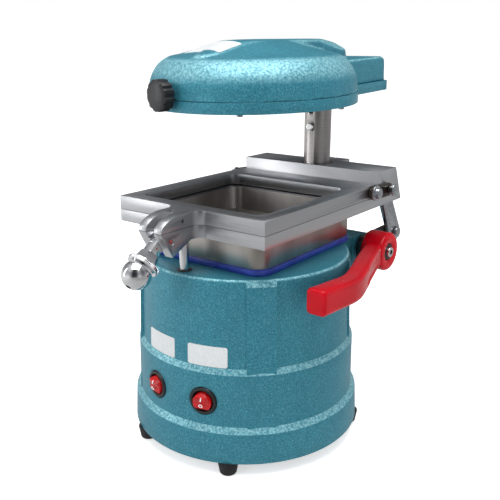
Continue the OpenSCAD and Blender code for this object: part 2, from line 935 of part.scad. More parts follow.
module lower_frame() {
    color("#aeb6bd")
    difference() {
        union() {
            side_profile(-frame_half, frame_half, [
                [frame_front, frame_z], [block_rear_low, frame_z], [block_rear, block_top],
                [block_front, block_top], [block_front, split_z], [frame_front, split_z]
            ]);
            side_profile(-lug_half, lug_half, [
                [block_front + 10, frame_z], [lug_rear, frame_z],
                [lug_rear, block_top], [block_front + 10, block_top]
            ]);
            side_profile(-tab_half, tab_half, wedge_points());
            tab_fillets(frame_z, lower_t);
        }
        translate([0, 0, frame_z - 1])
            linear_extrude(height = lower_t + 2)
                soft_square(open_half, chamber_round + open_half - chamber_half);
        translate([0, post_y, frame_z - 1])
            cylinder(h = 60, r = post_r + bush_wall);
        translate([-0.75, post_y, frame_z - 1])
            cube([1.5, 60, 60]);
        x_bar(-lug_half - 1, lug_half + 1, lug_rear - 6, (frame_z + block_top) / 2, 2.5);
        for (s = [0, 1])
            mirror([s, 0, 0])
                x_bar(lug_half, lug_half + 14, lug_rear - 6, (frame_z + block_top) / 2, 5.4);
        translate([-slot_half, tab_tip - 1, frame_z - 20])
            cube([2 * slot_half, pivot_y + latch_pin_r + 3.8 - tab_tip + 1, 40]);
        x_bar(-tab_half - 1, tab_half + 1, pivot_y, pivot_z, latch_pin_r);
        translate([0, -rod_y, frame_z - 1])
            cylinder(h = 8, r = rod_d / 2);
        for (s = [0, 1])
            mirror([s, 0, 0])
                x_bar(frame_half - 3.6, frame_half + 1, hinge_y, hinge_z, 3);
        x_bar(link_x - 0.4, link_x + link_t + 0.4, eye_y, eye_z, eye_r + 1.9);
        translate([link_x - 0.4, eye_y - 7, frame_z - 1])
            cube([link_t + 0.8, 20.6, eye_z - frame_z + 3]);
        x_bar(link_x - 6, frame_half - 1, eye_y, eye_z, link_pin_r);
    }
}

module post_bush() {
    color("#2e2f31")
    translate([0, post_y, frame_z])
        difference() {
            cylinder(h = block_top - frame_z, r = post_r + bush_wall);
            translate([0, 0, -1])
                cylinder(h = 60, r = post_r + fit);
        }
}

module clamp_screw() {
    color("#3a3b3d")
    translate([0, lug_rear - 6, (frame_z + block_top) / 2])
        rotate([0, 90, 0]) {
            translate([0, 0, -lug_half])
                cylinder(h = 2 * lug_half, r = 2.5);
            translate([0, 0, lug_half])
                difference() {
                    cylinder(h = 4, r = 4.5);
                    translate([0, 0, 1.5])
                        cylinder(h = 5, r = 2.3, $fn = 6);
                }
        }
}

module guide_rod() {
    color("#d8dadd")
    translate([0, -rod_y, frame_z - rod_len])
        cylinder(h = rod_len + 7, r = rod_d / 2);
}

module latch_pin() {
    color("#d8dadd")
    x_bar(-tab_half + 0.5, tab_half - 0.5, pivot_y, pivot_z, latch_pin_r);
}

// Shoulder pins of the upper frame's hinge, one on each end of the block
module hinge_pins() {
    out = frame_half + 0.4 + hinge_link_t;
    color("#9aa0a6")
    for (s = [0, 1])
        mirror([s, 0, 0]) {
            x_bar(frame_half - 3.4, out + 0.3, hinge_y, hinge_z, 3);
            x_bar(out + 0.3, out + 3.6, hinge_y, hinge_z, 3.8);
            x_bar(out + 3.6, out + 5.6, hinge_y, hinge_z, 5.2);
        }
}

module link_top_pin() {
    color("#9aa0a6")
    x_bar(link_x - 5.8, frame_half - 1.2, eye_y, eye_z, link_pin_r);
}

// Outline of the upper tab, flat on top and falling in a quarter ellipse to its tip
function upper_tab_points() = concat(
    [[frame_front + 1, frame_top], [frame_front + 1, upper_z], [tab_tip, upper_z]],
    [
        for (a = [0 : 10 : 90])
            [tab_tip + 23 * (1 - cos(a)), upper_z + upper_t * sin(a)]
    ]
);

module upper_frame() {
    color("#b9c0c6")
    difference() {
        union() {
            translate([-frame_half, frame_front, upper_z])
                cube([2 * frame_half, upper_rear - frame_front, upper_t]);
            side_profile(-tab_half, tab_half, upper_tab_points());
            tab_fillets(upper_z, upper_t);
        }
        translate([0, 0, upper_z - 1])
            linear_extrude(height = upper_t + 2)
                soft_square(open_half, 8);
        translate([0, 0, upper_z - 1])
            linear_extrude(height = 1 + gasket_t)
                soft_square(open_half + gasket_w, 8 + gasket_w);
        translate([-slot_half, tab_tip - 1, upper_z - 1])
            cube([2 * slot_half, slot_rear - tab_tip + 1, upper_t + 2]);
        translate([0, slot_rear + 3.2, upper_z + 3])
            cylinder(h = upper_t, r = 1.5);
        x_bar(tab_half - 4, tab_half + 1, slot_rear + 1.3, frame_top - 5.2, 1.4);
        for (s = [0, 1])
            mirror([s, 0, 0])
                x_bar(frame_half - 10, frame_half + 1, hinge_screw_y, hinge_z + 1, 2.5);
    }
}

module frame_gasket() {
    color("#101012")
    translate([0, 0, upper_z])
        linear_extrude(height = gasket_t)
            difference() {
                soft_square(open_half + gasket_w, 8 + gasket_w);
                soft_square(open_half, 8);
            }
}

module hinge_links() {
    color("#2b2d30")
    for (s = [0, 1])
        mirror([s, 0, 0])
            difference() {
                tapered_bar(
                    frame_half + 0.4, frame_half + 0.4 + hinge_link_t,
                    hinge_screw_y, hinge_z + 1, 6, hinge_y, hinge_z, 5.6
                );
                x_bar(frame_half - 1, frame_half + 20, hinge_y, hinge_z, 3 + fit);
                x_bar(frame_half - 1, frame_half + 20, hinge_screw_y, hinge_z + 1, 2.5);
            }
}

module hinge_screws() {
    out = frame_half + 0.4 + hinge_link_t;
    color("#9aa0a6")
    for (s = [0, 1])
        mirror([s, 0, 0]) {
            x_bar(frame_half - 9.8, out, hinge_screw_y, hinge_z + 1, 2.5);
            x_bar(out, out + 1.4, hinge_screw_y, hinge_z + 1, 6.6);
            x_bar(out + 1.4, out + 4.6, hinge_screw_y, hinge_z + 1, 4.4);
        }
}

// Children drawn along -Y are turned to lie along the hanging bolt
module along_swing() {
    translate([0, pivot_y, pivot_z])
        rotate([swing_rest, 0, 0])
            children();
}

module swing_bolt() {
    half = slot_half - 0.3;
    tip = collar_start + collar_len + clamp_flange_t + 1;
    color("#e2e4e6")
    along_swing()
        difference() {
            union() {
                x_bar(-half, half, 0, 0, latch_pin_r + 3);
                translate([-half, -collar_start + 0.4, -4.4])
                    cube([2 * half, collar_start - 0.4, 8.8]);
                out_bar(collar_start - 1, tip, 3);
            }
            x_bar(-half - 1, half + 1, 0, 0, latch_pin_r + fit);
        }
}

module clamp_knob() {
    flange_at = collar_start + collar_len;
    ball_at = flange_at + clamp_flange_t + ball_d * 0.31;
    color("#eceef0")
    along_swing()
        difference() {
            union() {
                out_bar(collar_start, collar_start + collar_len / 2, collar_d / 2 - 1, collar_d / 2);
                out_bar(collar_start + collar_len / 2, flange_at, collar_d / 2, collar_d / 2 + 2.5);
                out_bar(flange_at, flange_at + clamp_flange_t, clamp_flange_d / 2);
                translate([0, -ball_at, 0])
                    sphere(d = ball_d);
            }
            out_bar(collar_start - 1, flange_at + clamp_flange_t + 1.5, 3 + fit);
            out_bar(ball_at + ball_d / 2 - 1.5, ball_at + ball_d, 2);
        }
}

// A straight run from zero, with its bend drawn out over b on each side
function bent(d, b) = d < -b ? 0 : d > b ? d : (d + b) * (d + b) / (4 * b);

// The arm splays from its boss to the grip and keeps clear of the housing on its way
function arm_inner(y) = max(
    grip_in - arm_splay * bent(y - grip_start, 14),
    sqrt(max(0, pow(upper_r + grip_gap, 2) - y * y))
);

// Level from the boss, a shallow dip before the grip, then a climb to the tip
function arm_mid(y) =
    lever_h - arm_fall * bent(dip_start - y, 6)
    + (arm_fall + grip_climb) * bent(grip_start - y, 10);

function arm_half(y) =
    (arm_tall + (grip_tall - arm_tall) * (arm_start - y) / (arm_start - grip_tip)) / 2;

// One station: y, inner x, outer x, bottom z and top z above the housing's bottom
function arm_station(y, inset) = [
    y, arm_inner(y) + inset, arm_inner(y) + grip_w - inset,
    arm_mid(y) - arm_half(y) + inset, arm_mid(y) + arm_half(y) - inset
];

// Even steps along the arm, and a smaller end at the tip
function lever_stations() = [
    for (k = [0 : arm_steps - 1])
        arm_station(arm_start - (arm_start - grip_tip - arm_cut) * k / (arm_steps - 1), 0),
    arm_station(grip_tip, arm_cut * 0.7)
];

// Eight points around one station, with the corners cut
function station_ring(s, cut) = [
    for (p = [
        [s[1] + cut, s[3]], [s[2] - cut, s[3]], [s[2], s[3] + cut], [s[2], s[4] - cut],
        [s[2] - cut, s[4]], [s[1] + cut, s[4]], [s[1], s[4] - cut], [s[1], s[3] + cut]
    ])
        [p[0], s[0], p[1] + base_z]
];

module lever_arm() {
    stations = lever_stations();
    n = len(stations);
    ring = 8;
    polyhedron(
        points = [for (s = stations) each station_ring(s, arm_cut)],
        faces = concat(
            [[for (k = [0 : ring - 1]) k]],
            [
                for (i = [0 : n - 2], k = [0 : ring - 1])
                    [
                        i * ring + k, (i + 1) * ring + k,
                        (i + 1) * ring + (k + 1) % ring, i * ring + (k + 1) % ring
                    ]
            ],
            [[for (k = [ring - 1 : -1 : 0]) (n - 1) * ring + k]]
        )
    );
}

module lever_handle() {
    inner = lever_boss_face - 17.5;
    color("#c8141e")
    difference() {
        union() {
            lever_arm();
            x_bar(inner, lever_boss_face, lever_y, lever_z, lever_boss_r);
            translate([lever_boss_face, lever_y, lever_z])
                rotate([0, 90, 0])
                    cylinder(h = 3.2, r1 = lever_boss_r, r2 = lever_boss_r - 4.5);
        }
        x_bar(inner - 1, lever_boss_face - 4, lever_y, lever_z, shaft_r);
        x_bar(inner - 1, lever_boss_face + 10, lever_y, lever_z, 3);
        x_bar(lever_boss_face, lever_boss_face + 10, lever_y, lever_z, 7.4);
    }
}

module lever_shaft() {
    color("#9aa0a6")
    difference() {
        union() {
            x_bar(boss_r + 12.5, lever_boss_face - 4, lever_y, lever_z, shaft_r);
            x_bar(crank_x + link_t, lever_boss_face - 17.5, lever_y, lever_z, shaft_r + 2.5);
        }
        x_bar(lever_boss_face - 16, lever_boss_face, lever_y, lever_z, 2.5);
    }
}

module lever_bolt() {
    color("#e2e4e6")
    difference() {
        union() {
            x_bar(lever_boss_face - 15.8, lever_boss_face + 1.6, lever_y, lever_z, 2.5);
            x_bar(lever_boss_face + 1.6, lever_boss_face + 4.4, lever_y, lever_z, 3.9);
        }
        translate([lever_boss_face + 2.8, lever_y, lever_z])
            rotate([0, 90, 0])
                cylinder(h = 3, r = 1.9, $fn = 6);
    }
}

module lever_washer() {
    color("#17181a")
    difference() {
        x_bar(lever_boss_face, lever_boss_face + 1.6, lever_y, lever_z, 7.2);
        x_bar(lever_boss_face - 1, lever_boss_face + 3, lever_y, lever_z, 2.5);
    }
}

module crank_arm() {
    color("#26282a")
    difference() {
        tapered_bar(
            crank_x, crank_x + link_t,
            lever_y, lever_z, 11.5, crank_pin_y, crank_pin_z, 6.5
        );
        x_bar(crank_x - 1, crank_x + link_t + 1, lever_y, lever_z, shaft_r);
        x_bar(crank_x - 1, crank_x + link_t + 1, crank_pin_y, crank_pin_z, link_pin_r);
    }
}

module crank_pin() {
    color("#9aa0a6") {
        x_bar(crank_x, link_x + link_t + 0.3, crank_pin_y, crank_pin_z, link_pin_r);
        x_bar(link_x + link_t + 0.3, link_x + link_t + 3, crank_pin_y, crank_pin_z, link_pin_r + 1.8);
    }
}

module lift_link() {
    color("#a4abb0")
    difference() {
        tapered_bar(
            link_x, link_x + link_t,
            crank_pin_y, crank_pin_z, 9, eye_y, eye_z, eye_r
        );
        x_bar(link_x - 1, link_x + link_t + 1, crank_pin_y, crank_pin_z, link_pin_r + fit);
        x_bar(link_x - 1, link_x + link_t + 1, eye_y, eye_z, eye_bore_r);
    }
}

// Children drawn level are tilted about the post so that the head droops to its front
module on_head() {
    translate([0, post_y, head_z])
        rotate([head_droop, 0, 0])
            translate([0, -post_y, -head_z])
                children();
}

// Dome outline as radius and height, a given distance inside the surface
function dome_points(inset) = concat(
    [[0, ring_top], [head_r - inset, ring_top]],
    [
        for (a = [0 : 11 : 88])
            [
                head_r - shoulder_w - 0.5 + (shoulder_w - inset) * cos(a),
                ring_top + 3 + (shoulder_h - 3 - inset) * sin(a)
            ]
    ],
    [
        [head_r - shoulder_w - 0.5, shoulder_top - inset],
        [27, crown_top - inset], [12, crown_top + 0.8 - inset], [0, crown_top + 1 - inset]
    ]
);

module dome(inset) {
    translate([0, head_y, 0])
        rotate_extrude()
            polygon(dome_points(inset));
}

module neck_plan(inset) {
    round_r = max(5 - inset, 2);
    soft_rect(
        -neck_half + inset, head_y + 40, neck_half - inset, neck_rear - inset, round_r
    );
}

module neck_block(inset) {
    difference() {
        translate([0, 0, ring_top])
            linear_extrude(height = neck_h - inset)
                neck_plan(inset);
        side_profile(-neck_half - 1, neck_half + 1, [
            [neck_rear - inset - 9, neck_top - inset + 1],
            [neck_rear - inset - 7, neck_top - inset],
            [neck_rear - inset - 2, neck_top - inset - 3],
            [neck_rear - inset, neck_top - inset - 6.5],
            [neck_rear + 1, neck_top - inset - 7],
            [neck_rear + 1, neck_top - inset + 1]
        ]);
    }
}

// Raised spine from the front of the crown back over the post
module spine(inset) {
    top = crown_top + spine_out - inset;
    low = shoulder_top - 10;
    hull() {
        translate([0, -44, low])
            cylinder(h = shoulder_top + 1.2 - inset - low, r = 8 - inset, $fn = 32);
        translate([0, head_y - 4, low])
            cylinder(h = top - low, r = 22 - inset, $fn = 32);
        translate([0, 62, low])
            cylinder(h = top - 1.6 - low, r = 26 - inset, $fn = 32);
        translate([0, 90, low])
            cylinder(h = top - 5 - low, r = 21 - inset, $fn = 32);
        translate([0, 93, low])
            cylinder(h = top - 11 - low, r = spine_r - inset, $fn = 32);
    }
}

module head_shell() {
    color("#3f93a6")
    difference() {
        on_head()
            difference() {
                union() {
                    dome(0);
                    neck_block(0);
                    spine(0);
                }
                translate([0, 0, -eps]) {
                    dome(head_wall);
                    neck_block(head_wall);
                }
                spine(head_wall);
                at_head_front(head_knob_h)
                    out_bar(head_r - 8, head_r + 2, 3);
            }
        translate([0, post_y, head_z])
            cylinder(h = hub_top - head_z + 0.4, r = hub_r + 0.4);
    }
}

module at_head_front(h) {
    translate([0, head_y, head_z + h])
        rotate([0, 0, head_knob_az])
            children();
}

module head_ring() {
    color("#3f93a6")
    difference() {
        on_head()
            translate([0, 0, head_z])
                difference() {
                    linear_extrude(height = ring_h)
                        union() {
                            translate([0, head_y])
                                circle(r = head_r);
                            soft_rect(
                                -neck_half - neck_lip, head_y + 40,
                                neck_half + neck_lip, neck_rear + neck_lip, 6
                            );
                        }
                    translate([0, head_y, -1])
                        cylinder(h = ring_h + 2, r = reflector_r + 2);
                    translate([0, 0, 3])
                        linear_extrude(height = ring_h)
                            soft_rect(
                                -neck_half + head_wall + 2, head_y + 45,
                                neck_half - head_wall - 2, neck_rear - head_wall - 2, 4
                            );
                    for (p = head_screw_places())
                        translate([p[0], p[1], -1])
                            cylinder(h = 6, r = 1.6);
                }
        translate([0, post_y, head_z - 5])
            cylinder(h = 20, r = hub_r);
    }
}

// Where the screws hold the ring: around the dome and at the neck's rear corners
function head_screw_places() = concat(
    [for (a = [-60, -120, 180, 0]) [(head_r - 2.4) * cos(a), head_y + (head_r - 2.4) * sin(a)]],
    [for (s = [-1, 1]) [s * (neck_half - 10), neck_rear - 2.2]]
);

module head_hub() {
    color("#8b9095")
    difference() {
        union() {
            translate([0, post_y, head_z - 0.5])
                cylinder(h = hub_top - head_z + 0.5, r = hub_r);
            on_head()
                translate([-neck_half + head_wall + 3, post_y - 8, head_z + 3])
                    cube([2 * (neck_half - head_wall - 3), 16, 5]);
        }
        translate([0, post_y, head_z - 1])
            cylinder(h = post_top - head_z + 1.3, r = post_r + fit);
    }
}

module reflector() {
    color("#dfe2e5")
    on_head()
        translate([0, head_y, head_z])
            difference() {
                rotate_extrude()
                    polygon([
                        [0, 14], [40, 14], [reflector_r - 3, 9], [reflector_r, 6.2],
                        [reflector_r + 1.8, 6.2], [reflector_r + 1.8, 7.4],
                        [reflector_r - 1.6, 10.6], [41, 15.4], [0, 15.4]
                    ]);
                for (s = [-1, 1])
                    translate([s * heater_end_x, heater_end_y, 0])
                        cylinder(h = 24, r = heater_tube_r + 2.5);
            }
}

// Heater tube in two rings joined by bridges, hung under the reflector
module heater_element() {
    color("#5a4a44")
    on_head()
        translate([0, head_y, head_z + heater_h]) {
            for (r = [heater_inner_r, heater_outer_r])
                rotate_extrude()
                    translate([r, 0])
                        circle(r = heater_tube_r, $fn = 24);
            for (s = [-1, 1])
                translate([s * heater_end_x, heater_end_y, 0]) {
                    cylinder(h = 20, r = heater_tube_r);
                    sphere(r = heater_tube_r, $fn = 24);
                    rotate([90, 0, 0])
                        cylinder(h = heater_end_y - heater_inner_r + 4, r = heater_tube_r);
                }
        }
}

module heater_posts() {
    color("#e8e4da")
    on_head()
        for (s = [-1, 1])
            translate([s * heater_end_x, head_y + heater_end_y, head_z + 10])
                difference() {
                    cylinder(h = 11, r = heater_tube_r + 2.4);
                    translate([0, 0, -1])
                        cylinder(h = 20, r = heater_tube_r);
                }
}

module head_knob() {
    color("#1a1b1d")
    on_head()
        at_head_front(head_knob_h)
            difference() {
                union() {
                    out_bar(head_r + 3.4, head_r + 2.2 + head_knob_t, head_knob_d / 2);
                    out_bar(
                        head_r + 2.2 + head_knob_t, head_r + 3.4 + head_knob_t,
                        head_knob_d / 2, head_knob_d / 2 - 3
                    );
                }
                for (a = [0 : 30 : 330])
                    rotate([0, a, 0])
                        translate([0, 0, head_knob_d / 2 + 1.1])
                            out_bar(head_r + 2, head_r + head_knob_t + 6, 2);
            }
}

module knob_nut() {
    color("#8f9499")
    on_head()
        at_head_front(head_knob_h) {
            translate([0, -head_r, 0])
                rotate([90, 0, 0])
                    cylinder(h = 3.4, r = 6.4, $fn = 6);
            out_bar(head_r - 6, head_r + 0.2, 3);
        }
}

// Thin plate that follows the crown and the spine
module head_label() {
    color("white")
    on_head()
        difference() {
            intersection() {
                union() {
                    dome(-label_t);
                    spine(-label_t);
                }
                translate([-head_label_x, -head_label_y, shoulder_top - 3])
                    rotate([0, 0, -11])
                        translate([-head_label_w / 2, -head_label_d / 2, 0])
                            cube([head_label_w, head_label_d, 30]);
            }
            dome(-0.04);
            spine(-0.04);
        }
}

module head_screws() {
    color("silver")
    on_head()
        for (p = head_screw_places())
            translate([p[0], p[1], head_z]) {
                translate([0, 0, -1.4])
                    cylinder(h = 1.4, r = 2.2);
                cylinder(h = 4.8, r = 1.6);
            }
}

module stop_button() {
    color("#e2e4e6")
    translate([0, post_y, button_z]) {
        out_bar(post_r - 5, post_r + button_out - 0.6, button_d / 2);
        out_bar(post_r + button_out - 0.6, post_r + button_out, button_d / 2, button_d / 2 - 0.6);
    }
}

base_housing();
base_plate();
base_plate_screws();
rubber_feet();
foot_screws();
chamber_seal();
vacuum_chamber();
perforated_plate();
rod_bush();
shaft_bush();
thrust_washer();
post();
post_set_screw();
cable_gland();
motor_can();
motor_mounts();
fan_housing();
duct_seal();
motor_shaft();
fan_impeller();
switch_bodies();
heat_rocker();
vacuum_rocker();
switch_labels();
lower_frame();
post_bush();
clamp_screw();
guide_rod();
latch_pin();
hinge_pins();
link_top_pin();
upper_frame();
frame_gasket();
hinge_links();
hinge_screws();
swing_bolt();
clamp_knob();
lever_handle();
lever_shaft();
lever_bolt();
lever_washer();
crank_arm();
crank_pin();
lift_link();
head_shell();
head_ring();
head_hub();
reflector();
heater_element();
heater_posts();
head_knob();
knob_nut();
head_label();
head_screws();
stop_button();
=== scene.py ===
# A dental vacuum former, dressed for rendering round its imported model.
import json
import math

import bmesh
import bpy
from mathutils import Matrix, Vector


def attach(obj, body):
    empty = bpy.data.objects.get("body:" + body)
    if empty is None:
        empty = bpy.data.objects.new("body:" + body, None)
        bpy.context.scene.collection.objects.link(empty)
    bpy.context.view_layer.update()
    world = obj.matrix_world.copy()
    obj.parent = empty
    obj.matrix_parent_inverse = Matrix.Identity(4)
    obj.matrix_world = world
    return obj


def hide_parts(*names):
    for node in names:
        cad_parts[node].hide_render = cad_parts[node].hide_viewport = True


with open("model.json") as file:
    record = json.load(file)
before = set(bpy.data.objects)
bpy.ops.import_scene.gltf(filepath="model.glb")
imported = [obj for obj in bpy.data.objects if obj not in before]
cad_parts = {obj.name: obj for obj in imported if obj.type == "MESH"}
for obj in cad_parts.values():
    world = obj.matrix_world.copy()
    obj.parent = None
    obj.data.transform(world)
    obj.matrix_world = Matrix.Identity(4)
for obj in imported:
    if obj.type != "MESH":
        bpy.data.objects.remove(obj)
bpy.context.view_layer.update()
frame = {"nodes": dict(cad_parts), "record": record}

MM = 0.001
# Corners closer than this many metres are one, and faces within this many degrees are one face
MERGE_REACH, FLAT_TURN = 2e-6, 0.3
# The rounding of edges: how many steps, and from how sharp a turn in degrees
EDGE_STEPS, EDGE_TURN = 2, 28
# How far a label's two faces lie over the surface under it, in millimetres
LABEL_TOP, LABEL_UNDER = 0.35, -0.25
NODES = frame["nodes"]
BODY_OF = {n: b for b, members in frame["record"]["behaviour"]["bodies"].items() for n in members}
SLOT_OF = {s["node"]: s["material_slot"] for s in frame["record"]["subparts"]}


def linear(colour):
    """An sRGB hex colour as the linear RGBA that Blender's sockets take."""
    values = [int(colour[i : i + 2], 16) / 255 for i in (1, 3, 5)]
    return [v / 12.92 if v <= 0.04045 else ((v + 0.055) / 1.055) ** 2.4 for v in values] + [1.0]


def add(tree, kind, links=None, out=0, stops=(), **settings):
    """Adds one node and gives its output, or the node itself where out is None.

    settings are its properties, links its inputs, each a value or another node's output, and
    stops are the (place, hex colour) pairs of a colour ramp.
    """
    node = tree.nodes.new(kind)
    for key, value in settings.items():
        setattr(node, key, value)
    for key, value in (links or {}).items():
        if isinstance(value, bpy.types.NodeSocket):
            tree.links.new(value, node.inputs[key])
        else:
            node.inputs[key].default_value = value
    if stops:
        band = node.color_ramp.elements
        while len(band) < len(stops):
            band.new(0.5)
        for element, (at, colour) in zip(band, stops):
            element.position = at
            element.color = linear(colour)
    return node if out is None else node.outputs[out]


def fresh_tree(owner):
    """The empty node tree of a new material or world."""
    owner.use_nodes = True
    owner.node_tree.nodes.clear()
    return owner.node_tree


def pattern(
    tree, size, stretch=(1, 1, 1), shift=(0, 0, 0), kind="ShaderNodeTexNoise", out="Fac",
    inputs=None, **settings,
):
    """A pattern on the piece's own coordinates, its features about that many millimetres wide.

    A stretch below 1 along an axis draws it out that way; shift is in metres.
    """
    spot = add(tree, "ShaderNodeTexCoord", out="Object")
    spot = add(tree, "ShaderNodeMapping", {"Vector": spot, "Scale": stretch, "Location": shift})
    links = {"Vector": spot, "Scale": 1000 / size, **(inputs or {})}
    return add(tree, kind, links, out, **settings)


def between(low, high, value, start=0.0, end=1.0):
    """Inputs that map a value, as it goes from start to end, to between low and high."""
    return {"Value": value, "From Min": start, "From Max": end, "To Min": low, "To Max": high}


# Pointiness of the first worn and of the barest edge; a flat face has 0.5
WORN_RANGE = (0.52, 0.60)


def surface(name, patterns, tone, rough=None, veils=(), worn=None, relief=(), metal=None, **fixed):
    """One finish, whose colour, roughness and relief follow patterns of real sizes.

    patterns: a name and what pattern() takes, or a function that makes it
    tone: a pattern and its ramp of colours, or the pattern's own colour without one
    veils: a pattern (none: even), its greatest share, the range over which it comes in, a colour
    worn: the colour of the outer edges that hands and tools rub
    rough, metal: a pattern, the values at both ends, and the pattern's range if it isn't 0 to 1
    relief: a pattern, its strength and its full height in millimetres, the lowest first
    fixed: values that are the same all over, set on the shader's own sockets
    """
    made = bpy.data.materials.new(name)
    tree = fresh_tree(made)
    seen = {
        key: sizes(tree) if callable(sizes) else pattern(tree, **sizes)
        for key, sizes in patterns.items()
    }
    key, stops = tone
    colour = seen[key]
    if stops:
        colour = add(tree, "ShaderNodeValToRGB", {"Fac": colour}, stops=stops)
    for key, most, start, end, shade in veils:
        share = most
        if key:
            share = add(tree, "ShaderNodeMapRange", between(0, most, seen[key], start, end))
        colour = add(
            tree, "ShaderNodeMix", {0: share, 6: colour, 7: linear(shade)}, 2, data_type="RGBA"
        )
    if worn:
        edge = add(tree, "ShaderNodeNewGeometry", out="Pointiness")
        share = add(tree, "ShaderNodeMapRange", between(0, 1, edge, *WORN_RANGE))
        colour = add(
            tree, "ShaderNodeMix", {0: share, 6: colour, 7: linear(worn)}, 2, data_type="RGBA"
        )
    links = {key.replace("_", " "): value for key, value in fixed.items()}
    links["Base Color"] = colour
    for socket, spec in (("Roughness", rough), ("Metallic", metal)):
        if spec:
            key, low, high, *span = spec
            links[socket] = add(tree, "ShaderNodeMapRange", between(low, high, seen[key], *span))
    for key, strength, height in relief:
        bump = {"Height": seen[key], "Strength": strength, "Distance": height * MM}
        if "Normal" in links:
            bump["Normal"] = links["Normal"]
        links["Normal"] = add(tree, "ShaderNodeBump", bump)
    shader = add(tree, "ShaderNodeBsdfPrincipled", links)
    add(tree, "ShaderNodeOutputMaterial", {"Surface": shader}, None)
    return made


def painted_shoulder_highlight(tree):
    """1 in broken patches where the casting turns from side to top: a painted highlight where the
    lamp above lights the slope.
    """
    facing = add(tree, "ShaderNodeTexCoord", out="Normal")
    up = add(tree, "ShaderNodeSeparateXYZ", {0: facing}, "Z")
    rising = add(tree, "ShaderNodeMapRange", between(0, 1, up, 0.25, 0.5))
    not_level = add(tree, "ShaderNodeMapRange", between(1, 0, up, 0.86, 0.95))
    patches = pattern(tree, size=1.8, inputs={"Detail": 3, "Roughness": 0.7})
    patches = add(tree, "ShaderNodeMapRange", between(0.15, 1.0, patches, 0.40, 0.60))
    share = add(tree, "ShaderNodeMath", {0: rising, 1: not_level}, operation="MULTIPLY")
    return add(tree, "ShaderNodeMath", {0: share, 1: patches}, operation="MULTIPLY")


